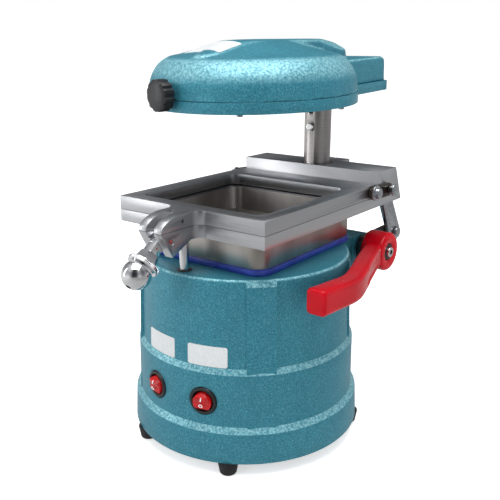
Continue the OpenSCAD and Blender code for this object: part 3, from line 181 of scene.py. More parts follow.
FINISH = {
    # Hammer finish stoving enamel: aluminium flake in teal lacquer that draws into small dimples,
    # so each dimple is darker in its middle and lighter at its rim. Up-facing slopes get a painted
    # highlight in pale cyan from the lamp above, and the flake spots a painted glint as well as
    # more metal. The dimples are 1.2 mm wide, and the grain and the flake spots are drawn coarse
    # enough to show.
    "hammertone_paint": surface(
        "hammer_finish_enamel",
        {
            "cells": dict(
                size=1.2, kind="ShaderNodeTexVoronoi", out="Distance", feature="SMOOTH_F1",
                inputs={"Randomness": 1.0, "Smoothness": 0.5},
            ),
            "clouds": dict(size=16, inputs={"Detail": 3}),
            "grain": dict(size=1.3, inputs={"Detail": 3, "Roughness": 0.6}),
            # sparse aluminium flake spots: real flake, with a painted glint laid on them below
            "flake_glints": dict(size=0.9),
            "shoulder_highlight": painted_shoulder_highlight,
        },
        tone=("cells", [(0.10, "#286d80"), (0.45, "#307c8f"), (0.75, "#3e8d9f")]),
        veils=[
            ("grain", 0.45, 0.47, 0.70, "#4c9fb0"),
            ("clouds", 0.30, 0.35, 0.70, "#256b80"),
            # painted highlight: up-facing slopes lightened to pale cyan as if lit by the lamp above
            ("shoulder_highlight", 0.70, 0, 1, "#a4dbe3"),
            # painted glint: the flake spots lightened to pale cyan, and made more metallic below
            ("flake_glints", 0.42, 0.60, 0.74, "#9fd2dc"),
        ],
        rough=("grain", 0.38, 0.52),
        metal=("flake_glints", 0.30, 0.55, 0.60, 0.74),
        relief=[("grain", 0.18, 0.08), ("cells", 0.30, 0.16)],
        Coat_Weight=0.12, Coat_Roughness=0.18, Specular_IOR_Level=0.4,
    ),
    # Milled and bead-blasted steel of the block: an even fine grain without a direction
    "cast_steel": surface(
        "bead_blasted_steel",
        {"grain": dict(size=0.6, inputs={"Detail": 3}), "clouds": dict(size=18)},
        tone=("grain", [(0.3, "#a3a2a0"), (0.7, "#c3c1be")]),
        worn="#d5d3cf", rough=("clouds", 0.36, 0.46), relief=[("grain", 0.12, 0.04)], Metallic=1.0,
    ),
    # Belt-ground stainless steel: fine lines along X and a cloudy sheen, brighter on its edges. The
    # lines are drawn 0.35 mm wide, coarser than real ones, so that they show.
    "satin_steel": surface(
        "belt_ground_steel",
        {
            "lines": dict(size=0.35, stretch=(0.02, 1, 1), inputs={"Detail": 3, "Roughness": 0.6}),
            "clouds": dict(size=22),
        },
        tone=("lines", [(0.3, "#a2a5a9"), (0.7, "#c3c6ca")]),
        veils=[("clouds", 0.35, 0.3, 0.7, "#b0b3b8")],
        worn="#dcdddf", rough=("clouds", 0.30, 0.42), relief=[("lines", 0.10, 0.03)],
        Metallic=1.0, Anisotropic=0.3,
    ),
    # Deep-drawn stainless steel of the chamber, dull-polished: long soft waves, faint lines
    "polished_steel": surface(
        "drawn_polished_steel",
        {
            "waves": dict(size=30, stretch=(1, 1, 0.5)),
            "lines": dict(size=0.5, stretch=(1, 1, 0.03)),
        },
        tone=("waves", [(0.35, "#a59f99"), (0.65, "#c9c5c0")]),
        rough=("lines", 0.30, 0.42), relief=[("lines", 0.06, 0.02), ("waves", 0.12, 0.5)],
        Metallic=1.0,
    ),
    # Centreless-ground stainless bar of the post: fine rings round it, drawn coarse enough to show
    "post_steel": surface(
        "ground_steel_bar",
        {"rings": dict(size=0.9, stretch=(0.03, 0.03, 1))},
        tone=("rings", [(0.3, "#aaa7a5"), (0.7, "#b9b6b4")]),
        rough=("rings", 0.26, 0.32), relief=[("rings", 0.03, 0.01)], Metallic=1.0, Anisotropic=0.4,
    ),
    # Bright zinc plate on screws and washers: slightly blue, a little blotchy
    "zinc_plate": surface(
        "bright_zinc_plate",
        {"blot": dict(size=2.5, inputs={"Detail": 3})},
        tone=("blot", [(0.3, "#a9adb2"), (0.7, "#c9ccd0")]),
        rough=("blot", 0.22, 0.36), Metallic=1.0,
    ),
    # Bright chrome plate: nearly a mirror, with faint hand marks in its roughness
    "chrome_plate": surface(
        "bright_chrome_plate",
        {"smears": dict(size=9, inputs={"Detail": 4})},
        tone=("smears", [(0.3, "#d9dadc"), (0.7, "#eeeff0")]),
        rough=("smears", 0.035, 0.09, 0.3, 0.7), Metallic=1.0,
    ),
    # Oiled black-oxide steel of the crank: brown-black with bare metal on its edges
    "dark_steel": surface(
        "black_oxide_steel",
        {"blot": dict(size=5, inputs={"Detail": 4})},
        tone=("blot", [(0.3, "#35312e"), (0.7, "#524c48")]),
        worn="#8c8680", rough=("blot", 0.30, 0.45), relief=[("blot", 0.08, 0.05)], Metallic=1.0,
    ),
    # Injection-moulded glossy ABS of the lever: smooth with a faint orange-peel skin
    "red_plastic": surface(
        "glossy_moulded_abs",
        {"peel": dict(size=3.2), "depth": dict(size=30)},
        tone=("depth", [(0.3, "#b00416"), (0.7, "#c0081a")]),
        rough=("peel", 0.20, 0.30), relief=[("peel", 0.06, 0.06)], Specular_IOR_Level=0.22,
    ),
    # Clear red polycarbonate of the rockers: a deep colour with a shiny skin
    "rocker_plastic": surface(
        "clear_red_polycarbonate",
        {"depth": dict(size=4)},
        tone=("depth", [(0.3, "#a10d12"), (0.7, "#c8181c")]),
        rough=("depth", 0.22, 0.30), Specular_IOR_Level=0.4,
    ),
    # Fine-sparked black nylon of bezels, knob and gland
    "black_plastic": surface(
        "sparked_black_nylon",
        {"grain": dict(size=0.5)},
        tone=("grain", [(0.3, "#131416"), (0.7, "#212326")]),
        rough=("grain", 0.32, 0.48), relief=[("grain", 0.12, 0.04)],
    ),
    # Moulded black rubber: matt, with a dusty bloom in patches
    "black_rubber": surface(
        "moulded_black_rubber",
        {"bloom": dict(size=7, inputs={"Detail": 4}), "skin": dict(size=0.8)},
        tone=("bloom", [(0.35, "#111112"), (0.75, "#2a2a2b")]),
        rough=("bloom", 0.62, 0.85), relief=[("skin", 0.15, 0.05)],
    ),
    # Blue silicone seal under the chamber: soft, slightly glossy
    "blue_seal": surface(
        "blue_silicone",
        {"cloud": dict(size=8, inputs={"Detail": 3})},
        tone=("cloud", [(0.3, "#1f2f86"), (0.7, "#2f49a8")]),
        rough=("cloud", 0.30, 0.45),
    ),
    # White polyester label film, printed side left bare: a faint fibre and a soft sheen
    "label_film": surface(
        "white_polyester_film",
        {"fibre": dict(size=0.8, stretch=(1, 1, 0.3), inputs={"Detail": 3})},
        tone=("fibre", [(0.3, "#cdd1d3"), (0.7, "#dcdfe0")]),
        rough=("fibre", 0.34, 0.48),
    ),
    # White pad-printing ink of the two marks on each rocker
    "mark_ink": surface(
        "white_pad_ink",
        {"ink": dict(size=0.6)},
        tone=("ink", [(0.2, "#dfe1e2"), (0.6, "#f4f5f5")]),
        Roughness=0.45,
    ),
    # Galvanised steel of the motor and its fan housing: large soft spangles
    "motor_metal": surface(
        "galvanised_steel",
        {
            "spangles": dict(size=9, kind="ShaderNodeTexVoronoi", out="Color"),
            "bloom": dict(size=6),
        },
        tone=("spangles", None), veils=[(None, 0.85, 0, 1, "#a5a9ac")],
        rough=("bloom", 0.30, 0.45), Metallic=1.0,
    ),
    # Oil-filled sintered bronze of the bushes: porous and warm
    "bronze": surface(
        "sintered_bronze",
        {"pores": dict(size=0.5, inputs={"Detail": 3})},
        tone=("pores", [(0.35, "#6f5128"), (0.65, "#b08a4c")]),
        rough=("pores", 0.30, 0.45), relief=[("pores", 0.1, 0.03)], Metallic=1.0,
    ),
    # Spun bright aluminium of the reflector: rings from the spinning tool, a light haze from heat
    "reflector_metal": surface(
        "spun_aluminium",
        {
            "rings": dict(
                size=9, shift=(0, -0.01, 0), kind="ShaderNodeTexWave",
                wave_type="RINGS", rings_direction="Z", inputs={"Distortion": 0.6},
            ),
            "haze": dict(size=24, inputs={"Detail": 3}),
        },
        tone=("haze", [(0.3, "#c9c3b8"), (0.7, "#e4e3e0")]),
        rough=("haze", 0.18, 0.38), relief=[("rings", 0.10, 0.05)], Metallic=1.0,
    ),
    # Tube heater sheath of heat-tinted stainless steel: brown to grey scale
    "heater_tube": surface(
        "heat_tinted_sheath",
        {"scale": dict(size=6, inputs={"Detail": 5, "Roughness": 0.65})},
        tone=("scale", [(0.3, "#3b2c27"), (0.55, "#5d4a42"), (0.75, "#7c7069")]),
        rough=("scale", 0.38, 0.62), relief=[("scale", 0.15, 0.08)], Metallic=1.0,
    ),
    # Fired steatite collars: off-white, smooth but matt
    "steatite": surface(
        "fired_steatite",
        {"body": dict(size=3, inputs={"Detail": 3})},
        tone=("body", [(0.3, "#d8d2c4"), (0.7, "#ebe7dd")]),
        rough=("body", 0.45, 0.6),
    ),
}


def show(mesh, name):
    """An object for a mesh, in the scene and at the origin."""
    piece = bpy.data.objects.new(name, mesh)
    bpy.context.scene.collection.objects.link(piece)
    return piece


def settle(piece):
    """Turns a piece and its modifiers into a plain mesh."""
    dg = bpy.context.evaluated_depsgraph_get()
    mesh = bpy.data.meshes.new_from_object(piece.evaluated_get(dg))
    piece.modifiers.clear()
    piece.data = mesh
    return piece


def soften(piece, angle=35):
    """Smooth shading with crisp creases past the angle."""
    mesh = piece.data
    mesh.polygons.foreach_set("use_smooth", [True] * len(mesh.polygons))
    mesh.set_sharp_from_angle(angle=math.radians(angle))
    mesh.update()
    return piece


def fit_out(piece, body, slot, material=None, *replaced):
    """Gives a finished piece the finish of its slot or the one named, hangs it on its body and
    hides the nodes that it stands for.
    """
    piece.data.materials.clear()
    piece.data.materials.append(FINISH[material or slot])
    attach(piece, body)
    if replaced:
        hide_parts(*replaced)
    return piece


def copy_of(node, name):
    """A merged copy of a node's mesh, with its flat faces joined."""
    mesh = NODES[node].data.copy()
    work = bmesh.new()
    work.from_mesh(mesh)
    bmesh.ops.remove_doubles(work, verts=work.verts, dist=MERGE_REACH)
    bmesh.ops.dissolve_degenerate(work, edges=work.edges, dist=MERGE_REACH)
    bmesh.ops.dissolve_limit(
        work, angle_limit=math.radians(FLAT_TURN), delimit={"NORMAL"},
        verts=work.verts, edges=work.edges,
    )
    work.to_mesh(mesh)
    work.free()
    return show(mesh, name)


def round_edges(piece, width_mm):
    """Breaks the edges as a tumbled, cast or moulded part has them."""
    bevel = piece.modifiers.new("edges", "BEVEL")
    bevel.width = width_mm * MM
    bevel.segments = EDGE_STEPS
    bevel.limit_method = "ANGLE"
    bevel.angle_limit = math.radians(EDGE_TURN)
    return settle(piece)


def dress(node, width_mm, material=None):
    """Stands a copy of a node with broken edges in the node's place."""
    piece = copy_of(node, node + "_finished")
    if width_mm:
        round_edges(piece, width_mm)
    soften(piece)
    return fit_out(piece, BODY_OF[node], SLOT_OF[node], material, node)


# Node, edge rounding in millimetres and a finish where it isn't the slot's own
DRESSED = [
    ("base_housing", 0.7, None), ("base_plate", 0.4, None), ("rubber_feet", 0.6, None),
    ("chamber_seal", 0.8, None), ("vacuum_chamber", 0.5, None), ("perforated_plate", 0, None),
    ("rod_bush", 0.3, None), ("post", 0.5, "post_steel"), ("cable_gland", 0.4, None),
    ("lower_frame", 0.5, "satin_steel"), ("upper_frame", 0.5, "satin_steel"),
    ("frame_gasket", 0.2, None), ("hinge_links", 0.4, None), ("hinge_pins", 0.4, None),
    ("hinge_screws", 0.4, None), ("swing_bolt", 0.4, None), ("lever_washer", 0.3, None),
    ("lever_shaft", 0.3, None), ("crank_arm", 0.4, None), ("crank_pin", 0.3, None),
    ("lift_link", 0.4, None), ("link_top_pin", 0.3, None),
    ("head_ring", 0.8, None), ("head_hub", 0.4, None), ("reflector", 0.3, None),
    ("heater_element", 0, None), ("heater_posts", 0.3, None), ("head_knob", 0.4, None),
    ("knob_nut", 0.3, None), ("head_screws", 0.3, None),
    ("stop_button", 0.5, None), ("clamp_screw", 0.3, None), ("post_set_screw", 0.2, None),
]


def grid_mesh(rings, name, close_ends=True):
    """A closed skin over rings of points in millimetres, all with the same count."""
    count = len(rings[0])
    work = bmesh.new()
    rows = [[work.verts.new(Vector(p) * MM) for p in ring] for ring in rings]
    for first, second in zip(rows, rows[1:]):
        for k in range(count):
            work.faces.new((first[k], first[(k + 1) % count], second[(k + 1) % count], second[k]))
    if close_ends:
        work.faces.new(list(reversed(rows[0])))
        work.faces.new(rows[-1])
    bmesh.ops.remove_doubles(work, verts=work.verts, dist=1e-7)
    bmesh.ops.recalc_face_normals(work, faces=work.faces)
    mesh = bpy.data.meshes.new(name)
    work.to_mesh(mesh)
    work.free()
    return show(mesh, name)


def ring_at(matrix, along, radius, count, flats=None):
    """Points round +X of a matrix; flats is the share of the radius at a hexagon's flats."""
    ring = []
    for k in range(count):
        turn = 2 * math.pi * k / count
        reach = radius
        if flats:
            reach *= flats / math.cos(turn % (math.pi / 3) - math.pi / 6)
        ring.append(matrix @ Vector((along, reach * math.cos(turn), reach * math.sin(turn))))
    return ring


def lathe(profile, name, matrix, count=96):
    """A turned piece round +X of a matrix: profile is (distance along, radius) in millimetres."""
    return grid_mesh([ring_at(matrix, along, radius, count) for along, radius in profile], name)


def arc(x, y, radius, start, end, steps=6):
    """Profile points round a corner, angles in degrees."""
    turns = [math.radians(start + (end - start) * k / steps) for k in range(steps + 1)]
    return [(x + radius * math.cos(turn), y + radius * math.sin(turn)) for turn in turns]


def axis_frame(origin, direction):
    """A matrix in millimetres that lays +X along a direction, not upright, from an origin."""
    along = Vector(direction).normalized()
    side = Vector((0, 0, 1)).cross(along).normalized()
    made = Matrix((along, side, along.cross(side))).transposed().to_4x4()
    made.translation = Vector(origin)
    return made


def ring_of(shape, count, radius_mm, name, material):
    """Geometry Nodes: copies of a shape round the Z axis at a radius, made real."""
    tree = bpy.data.node_groups.new(name + "_round", "GeometryNodeTree")
    tree.interface.new_socket("Geometry", in_out="OUTPUT", socket_type="NodeSocketGeometry")
    sizes = {}
    for label, kind, value in (
        ("Copies", "NodeSocketInt", count), ("Radius", "NodeSocketFloat", radius_mm * MM)
    ):
        socket = tree.interface.new_socket(label, in_out="INPUT", socket_type=kind)
        sizes[socket.identifier] = value
    given = add(tree, "NodeGroupInput", out=None).outputs
    circle = add(
        tree, "GeometryNodeMeshCircle", {"Vertices": given["Copies"], "Radius": given["Radius"]}
    )
    number = add(tree, "GeometryNodeInputIndex")
    step = add(tree, "ShaderNodeMath", {0: 2 * math.pi, 1: given["Copies"]}, operation="DIVIDE")
    turn = add(tree, "ShaderNodeMath", {0: number, 1: step}, operation="MULTIPLY")
    angles = add(tree, "ShaderNodeCombineXYZ", {"Z": turn})
    source = add(tree, "GeometryNodeObjectInfo", {"Object": shape}, "Geometry")
    copies = add(
        tree, "GeometryNodeInstanceOnPoints",
        {"Points": circle, "Instance": source, "Rotation": angles},
    )
    real = add(tree, "GeometryNodeRealizeInstances", {0: copies})
    coated = add(tree, "GeometryNodeSetMaterial", {"Geometry": real, "Material": material})
    add(tree, "NodeGroupOutput", {0: coated}, None)
    piece = show(bpy.data.meshes.new(name), name)
    nodes = piece.modifiers.new("ring", "NODES")
    nodes.node_group = tree
    for identifier, value in sizes.items():
        nodes[identifier] = value
    return settle(piece)


# The head hangs down a little towards the front, by this turn about its hub
HUB = Vector((0, 107, 272.5))
TILT = Matrix.Rotation(math.radians(2), 4, "X")
DROOP = Matrix.Translation(HUB) @ TILT @ Matrix.Translation(-HUB)
# Height of the cover's seam, and the rise above it over which the soft blends come in
SEAM_Z, BLEND_RISE = 281.2, 4.0
# The voxels of the cover's skin in millimetres, and how many rounds of smoothing soften it
SKIN_VOXEL, BLEND_ROUNDS = 1.0, 26


def head_casting():
    """The cast cover: the node's own form with the soft blends that a sand casting has."""
    piece = copy_of("head_shell", "head_casting")
    remesh = piece.modifiers.new("even_skin", "REMESH")
    remesh.mode = "VOXEL"
    remesh.voxel_size = SKIN_VOXEL * MM
    settle(piece)
    free = piece.vertex_groups.new(name="above_the_seam")
    level = DROOP.inverted()
    for vertex in piece.data.vertices:
        above = (level @ (vertex.co / MM)).z - SEAM_Z
        free.add([vertex.index], min(max(above / BLEND_RISE, 0.0), 1.0), "REPLACE")
    smooth = piece.modifiers.new("blends", "SMOOTH")
    smooth.factor = 0.5
    smooth.iterations = BLEND_ROUNDS
    smooth.vertex_group = free.name
    soften(settle(piece), 60)
    return fit_out(piece, "head", "hammertone_paint", None, "head_shell")


def thin_label(spot_at, span, count, round_mm, name):
    """A label with round corners; spot_at places its point (u, v) at a height over the surface."""
    columns, rows = count
    flat_u, flat_v = span[0] / 2 - round_mm, span[1] / 2 - round_mm
    spots = {}
    work = bmesh.new()
    for side, lift in (("top", LABEL_TOP), ("under", LABEL_UNDER)):
        for i in range(columns):
            for j in range(rows):
                u = (i / (columns - 1) - 0.5) * span[0]
                v = (j / (rows - 1) - 0.5) * span[1]
                over_u, over_v = max(abs(u) - flat_u, 0), max(abs(v) - flat_v, 0)
                reach = math.hypot(over_u, over_v)
                if over_u and over_v and reach > round_mm:
                    u = math.copysign(flat_u + over_u * round_mm / reach, u)
                    v = math.copysign(flat_v + over_v * round_mm / reach, v)
                spots[side, i, j] = work.verts.new(spot_at(u, v, lift) * MM)
    for i in range(columns - 1):
        for j in range(rows - 1):
            for side in ("top", "under"):
                corners = [spots[side, i + a, j + b] for a, b in ((0, 0), (1, 0), (1, 1), (0, 1))]
                work.faces.new(corners if side == "top" else corners[::-1])
    rim = (
        [(i, 0) for i in range(columns)]
        + [(columns - 1, j) for j in range(1, rows)]
        + [(i, rows - 1) for i in range(columns - 2, -1, -1)]
        + [(0, j) for j in range(rows - 2, 0, -1)]
    )
    for first, second in zip(rim, rim[1:] + rim[:1]):
        wall = (("under", first), ("under", second), ("top", second), ("top", first))
        work.faces.new([spots[side, *at] for side, at in wall])
    bmesh.ops.recalc_face_normals(work, faces=work.faces)
    mesh = bpy.data.meshes.new(name)
    work.to_mesh(mesh)
    work.free()
    return soften(show(mesh, name), 50)


def head_film(cover):
    """The bare label on the sloping front of the cover, laid onto it from above."""
    bpy.context.view_layer.update()
    spin = Matrix.Rotation(math.radians(-11), 4, "Z")
    over_the_slope = Vector((-9.5, -25.5, 345))

    def spot_at(u, v, lift):
        spot = DROOP @ (spin @ Vector((u, v, 0)) + over_the_slope)
        _, landed, normal, _ = cover.ray_cast(spot * MM, Vector((0, 0, -1)))
        return landed / MM + normal * lift

    label = thin_label(spot_at, (42, 22), (30, 18), 1.2, "head_label_film")
    fit_out(label, "head", "label_film", None, "head_label")


# Radius of the housing's upper tier at its foot, in millimetres
HOUSING_R = 86.2


def plate_film(azimuth, name, *replaced):
    """A bare label plate round the upper tier above a switch."""
    low_r, high_r, low_z, high_z, middle_z = HOUSING_R, 84.2, 85, 153, 93.5

    def spot_at(u, v, lift):
        z = middle_z + v
        reach = low_r + (high_r - low_r) * (z - low_z) / (high_z - low_z) + lift
        turned = math.radians(azimuth) + u / low_r
        return Vector((reach * math.sin(turned), -reach * math.cos(turned), z))

    label = thin_label(spot_at, (31.6, 16), (24, 13), 1.5, name)
    fit_out(label, BODY_OF["switch_labels"], "label_film", None, *replaced)


# The lever's sizes in millimetres, as in the model: each is a place, a width or a height
GRIP_GAP, GRIP_IN, GRIP_W, GRIP_TIP = 1.8, 91.4, 16, -52
ARM_START, ARM_TALL, GRIP_TALL, GRIP_START = 88, 18, 19.2, 2
DIP_START, GRIP_DIP, GRIP_RISE, BOSS_FACE, LEVER_Y, LEVER_Z = 36, 2, 2.2, 80, 96, 140.6
# How far its three bends are drawn out on each side
SPLAY_BEND, DIP_BEND, CLIMB_BEND = 14, 6, 10
# The moulding's own rounding of its edges and its tip
ARM_CORNER, TIP_ROUND = 3.4, 2.6
# The sunk panel: its depth, its ends along Y and the run over which it sinks there
PANEL_SINK, PANEL_FRONT, PANEL_BACK, PANEL_FADE = 0.9, 22, 72, 2.0
# Places down the arm's outer face and whether the panel lies there
PANEL_PROFILE = ((0, 0), (0.05, 0), (0.11, 1), (0.5, 1), (0.89, 1), (0.95, 0), (1, 0))
BOLT_SEAT = 78.2
LEVER_AXIS = axis_frame((0, LEVER_Y, LEVER_Z), (1, 0, 0))


def bent(run, reach):
    """A straight run from zero, with its bend drawn out over reach on each side."""
    if run < -reach:
        return 0
    return run if run > reach else (run + reach) ** 2 / (4 * reach)


def along_arm(t):
    """The arm's place along Y, its inner and outer X and its bottom and top Z, at t from 0 to 1."""
    y = ARM_START + (GRIP_TIP - ARM_START) * t
    splay = (GRIP_IN + GRIP_W - BOSS_FACE) / (ARM_START - GRIP_START)
    fall = GRIP_DIP / (DIP_START - GRIP_START)
    climb = (GRIP_RISE + GRIP_DIP) / (GRIP_START - GRIP_TIP)
    clear = math.sqrt(max(0, (HOUSING_R + GRIP_GAP) ** 2 - y * y))
    inner = max(GRIP_IN - splay * bent(y - GRIP_START, SPLAY_BEND), clear)
    middle = (
        LEVER_Z - fall * bent(DIP_START - y, DIP_BEND)
        + (fall + climb) * bent(GRIP_START - y, CLIMB_BEND)
    )
    half = (ARM_TALL + (GRIP_TALL - ARM_TALL) * t) / 2
    return [y, inner, inner + GRIP_W, middle - half, middle + half]


def arm_ring(measures, shrink=0.0, panel=0.0):
    """One section of the arm: a rounded rectangle, its outer face sunk by panel in the middle."""
    y, x0, x1, z0, z1 = measures
    x0, x1, z0, z1 = x0 + shrink, x1 - shrink, z0 + shrink, z1 - shrink
    r = max(ARM_CORNER - shrink * 0.5, 1.0)
    high, low, off_the_arc = z1 - r, z0 + r, 0.01
    points = arc(x1 - r, high, r, 90, 0, 5)
    for down, sink in PANEL_PROFILE:
        z = high - off_the_arc - down * (high - low - 2 * off_the_arc)
        points.append((x1 - sink * panel, z))
    for x, z, start in ((x1 - r, low, 0), (x0 + r, low, -90), (x0 + r, high, -180)):
        points += arc(x, z, r, start, start - 90, 5)
    return [(x, y, z) for x, z in points]


def lever_moulding():
    """The red handle: a cranked arm with soft edges, a bare sunk panel and a round boss."""
    rings = []
    steps = 72
    body_end = (GRIP_TIP + TIP_ROUND - ARM_START) / (GRIP_TIP - ARM_START)
    for k in range(steps + 1):
        measures = along_arm(body_end * k / steps)
        past_front = min(max((measures[0] - PANEL_FRONT) / PANEL_FADE, 0), 1)
        before_back = min(max((PANEL_BACK - measures[0]) / PANEL_FADE, 0), 1)
        rings.append(arm_ring(measures, 0.0, PANEL_SINK * past_front * before_back))
    last = along_arm(body_end)
    for angle in (20, 40, 60, 75, 88):
        turn = math.radians(angle)
        measures = [last[0] - TIP_ROUND * math.sin(turn)] + last[1:]
        rings.append(arm_ring(measures, TIP_ROUND * (1 - math.cos(turn))))
    arm = soften(grid_mesh(rings, "lever_arm_moulding"), 40)
    fit_out(arm, "lever", "red_plastic", None, "lever_handle")
    inner_face, bore_r = 62.5, 3.2
    profile = (
        [(inner_face, 6.2), (inner_face, 14.7)] + arc(64.5, 14.7, 2, 180, 90)[1:]
        + arc(79.4, 13.1, 3.6, 90, 12, 8)
        + [(82.6, 10.6), (82.5, 9.4), (82.1, 8.2), (81.4, 7.5), (BOLT_SEAT, 7.4)]
        + [(BOLT_SEAT, bore_r), (inner_face, bore_r)]
    )
    boss = soften(lathe(profile, "lever_boss_moulding", LEVER_AXIS), 40)
    fit_out(boss, "lever", "red_plastic")


def lever_bolt():
    """The button-head bolt of the lever, with a hexagon socket."""
    at = LEVER_AXIS @ Matrix.Translation((BOLT_SEAT, 0, 0))
    head_r, head_h, rounding, socket_r, count, middle = 4.5, 6.2, 1.2, 2.4, 48, 0.05
    hexagon = math.cos(math.radians(30))
    profile = [(0.0, middle), (0.0, head_r)]
    profile += arc(head_h - rounding, head_r - rounding, rounding, 90, 10, 5)
    rings = [ring_at(at, x, r, count) for x, r in profile]
    rings += [
        ring_at(at, head_h, socket_r + 0.25, count),
        ring_at(at, head_h - 0.25, socket_r, count, hexagon),
        ring_at(at, head_h * 0.35, socket_r, count, hexagon),
        ring_at(at, head_h * 0.3, middle, count),
    ]
    bolt = soften(grid_mesh(rings, "lever_bolt_head"), 32)
    fit_out(bolt, "lever", SLOT_OF["lever_bolt"], "chrome_plate", "lever_bolt")


# The swing bolt hangs from the latch pin and leans down to the front by this turn
LEAN = math.radians(39)
SWING = axis_frame((0, -98.5, 181.5), (0, -math.cos(LEAN), -math.sin(LEAN)))


def latch_knob():
    """The chrome clamp knob: a hexagonal neck, a knurled flange and a ball with a drilled end."""
    start, neck, flange, flange_r, bore_r, ball_r, bevel = 13.2, 21.0, 3.5, 11.6, 3.1, 10.68, 0.6
    middle = neck + flange + 0.62 * ball_r
    tip = middle + ball_r
    profile = (
        [(neck + 0.6, bore_r), (neck - 0.4, bore_r), (neck - 0.4, 9.6), (neck, 10.2)]
        + [(neck, flange_r - bevel), (neck + bevel, flange_r), (neck + flange - bevel, flange_r)]
        + [(neck + flange, flange_r - bevel), (neck + flange, 8.8)]
        + arc(middle, 0, ball_r, 128, 13, 26)
        + [(tip - 0.5, 2.0), (tip - 2.6, 1.9), (tip - 2.6, 0.05)]
    )
    turned = soften(lathe(profile, "clamp_ball", SWING, 128), 35)
    fit_out(turned, "latch_knob", "chrome_plate", None, "clamp_knob")
    neck_profile = (
        (start, bore_r), (start, 5.9), (start + 0.5, 6.6),
        (neck - 3.2, 7.3), (neck, 8.6), (neck, bore_r),
    )
    rings = [ring_at(SWING, x, r, 60, 0.94) for x, r in neck_profile]
    nut = soften(grid_mesh(rings, "clamp_neck"), 25)
    fit_out(nut, "latch_knob", "chrome_plate")
    clamp_knurl(neck + flange / 2)


def clamp_knurl(along):
    """The knurl of the flange, its middle that far along the swing bolt."""
    half_high, half_wide, half_long = 0.45, 0.26, 1.3
    sections = [
        [
            (x, y * half_wide * narrow, z * half_long * short)
            for y, z in ((-1, -1), (1, -1), (1, 1), (-1, 1))
        ]
        for x, narrow, short in ((-half_high, 1, 1), (half_high, 0.2, 0.85))
    ]
    tooth = grid_mesh(sections, "knurl_tooth")
    teeth, root_r = 84, 11.42
    knurl = ring_of(tooth, teeth, root_r, "clamp_knurl", FINISH["chrome_plate"])
    bpy.data.objects.remove(tooth)
    seat = SWING @ Matrix.Translation((along, 0, 0)) @ Matrix.Rotation(math.radians(90), 4, "Y")
    seat.translation *= MM
    knurl.data.transform(seat)
    knurl.data.update()
    fit_out(knurl, "latch_knob", "chrome_plate")


# The rockers' pivots: distance from the middle of the base, height, and radius of the round face
ROCKER_OUT, ROCKER_Z, ROCKER_R = 86.6, 58.2, 7.6


def marks(azimuth, rocker, name):
    """The two pad-printed marks of a rocker, a stroke above and a ring below, on its round face."""
    turn = Matrix.Rotation(math.radians(azimuth), 3, "Z")
    outwards, across, up = turn @ Vector((0, -1, 0)), turn @ Vector((1, 0, 0)), Vector((0, 0, 1))
    pivot = outwards * ROCKER_OUT + up * ROCKER_Z

    def on_face(u, v, lift):
        reach, bow = ROCKER_R + lift, v / ROCKER_R
        return pivot + across * u + outwards * reach * math.cos(bow) + up * reach * math.sin(bow)

    def section(inner, outer, middle_v, turned):
        corners = ((inner, -0.1), (outer, -0.1), (outer, 0.07), (inner, 0.07))
        return [
            on_face(r * math.cos(turned), middle_v + r * math.sin(turned), lift)
            for r, lift in corners
        ]

    stroke = [section(-0.45, 0.45, 1.6 + 2.9 * k / 6, 0) for k in range(7)]
    ring = [section(1.05, 1.65, -2.3, 2 * math.pi * k / 40) for k in range(41)]
    for kind, rings in (("stroke", stroke), ("ring", ring)):
        piece = soften(grid_mesh(rings, name + "_" + kind, kind == "stroke"), 40)
        fit_out(piece, BODY_OF[rocker], SLOT_OF["switch_labels"], "mark_ink")


for node, width, material in DRESSED:
    dress(node, width, material)
head_film(head_casting())
plate_film(17.9, "right_label_film", "switch_labels")
plate_film(-11.6, "left_label_film")
lever_moulding()
lever_bolt()
latch_knob()
for node, width in (("switch_bodies", 0.35), ("heat_rocker", 0.5), ("vacuum_rocker", 0.5)):
    dress(node, width)
marks(16.3, "heat_rocker", "right_mark")
marks(-13.4, "vacuum_rocker", "left_mark")
for node, solid in NODES.items():
    if not solid.hide_render:
        solid.data.materials.clear()
        solid.data.materials.append(FINISH[SLOT_OF[node]])


def paper_floor():
    """A white sheet that keeps the object's shadow, and mirrors dim at the right as a dark flag."""
    half, drop = 12.0, -0.0002
    mesh = bpy.data.meshes.new("floor_sheet")
    corners = [(x * half, y * half, drop) for x, y in ((-1, -1), (1, -1), (1, 1), (-1, 1))]
    mesh.from_pydata(corners, [], [(0, 1, 2, 3)])
    paper = bpy.data.materials.new("white_paper")
    tree = fresh_tree(paper)
    path = add(tree, "ShaderNodeLightPath", out=None).outputs
    spot = add(tree, "ShaderNodeTexCoord", out="Object")
    far = add(tree, "ShaderNodeVectorMath", {0: spot}, "Value", operation="LENGTH")
    side = add(tree, "ShaderNodeSeparateXYZ", {0: spot}, "X")
    fibres = pattern(tree, size=300)
    tone = add(
        tree, "ShaderNodeValToRGB", {"Fac": fibres}, stops=[(0.3, "#f1f1f1"), (0.7, "#f4f4f4")]
    )
    sheet = add(
        tree, "ShaderNodeBsdfPrincipled",
        {"Base Color": tone, "Roughness": 0.8, "Specular IOR Level": 0.1},
    )
    strength = add(tree, "ShaderNodeMapRange", between(0.55, 1.0, far, 0.2, 0.75))
    glow = add(tree, "ShaderNodeEmission", {"Color": (1, 1, 1, 1), "Strength": strength})
    strength = add(tree, "ShaderNodeMapRange", between(0.85, 0.36, side, -0.4, 0.4))
    flag = add(tree, "ShaderNodeEmission", {"Color": (1, 1, 1, 1), "Strength": strength})
    lit = add(tree, "ShaderNodeAddShader", {0: sheet, 1: glow})
    shown = add(tree, "ShaderNodeMixShader", {0: path["Is Camera Ray"], 1: sheet, 2: lit})
    both = add(tree, "ShaderNodeMixShader", {0: path["Is Glossy Ray"], 1: shown, 2: flag})
    add(tree, "ShaderNodeOutputMaterial", {"Surface": both}, None)
    mesh.materials.append(paper)
    show(mesh, "floor")


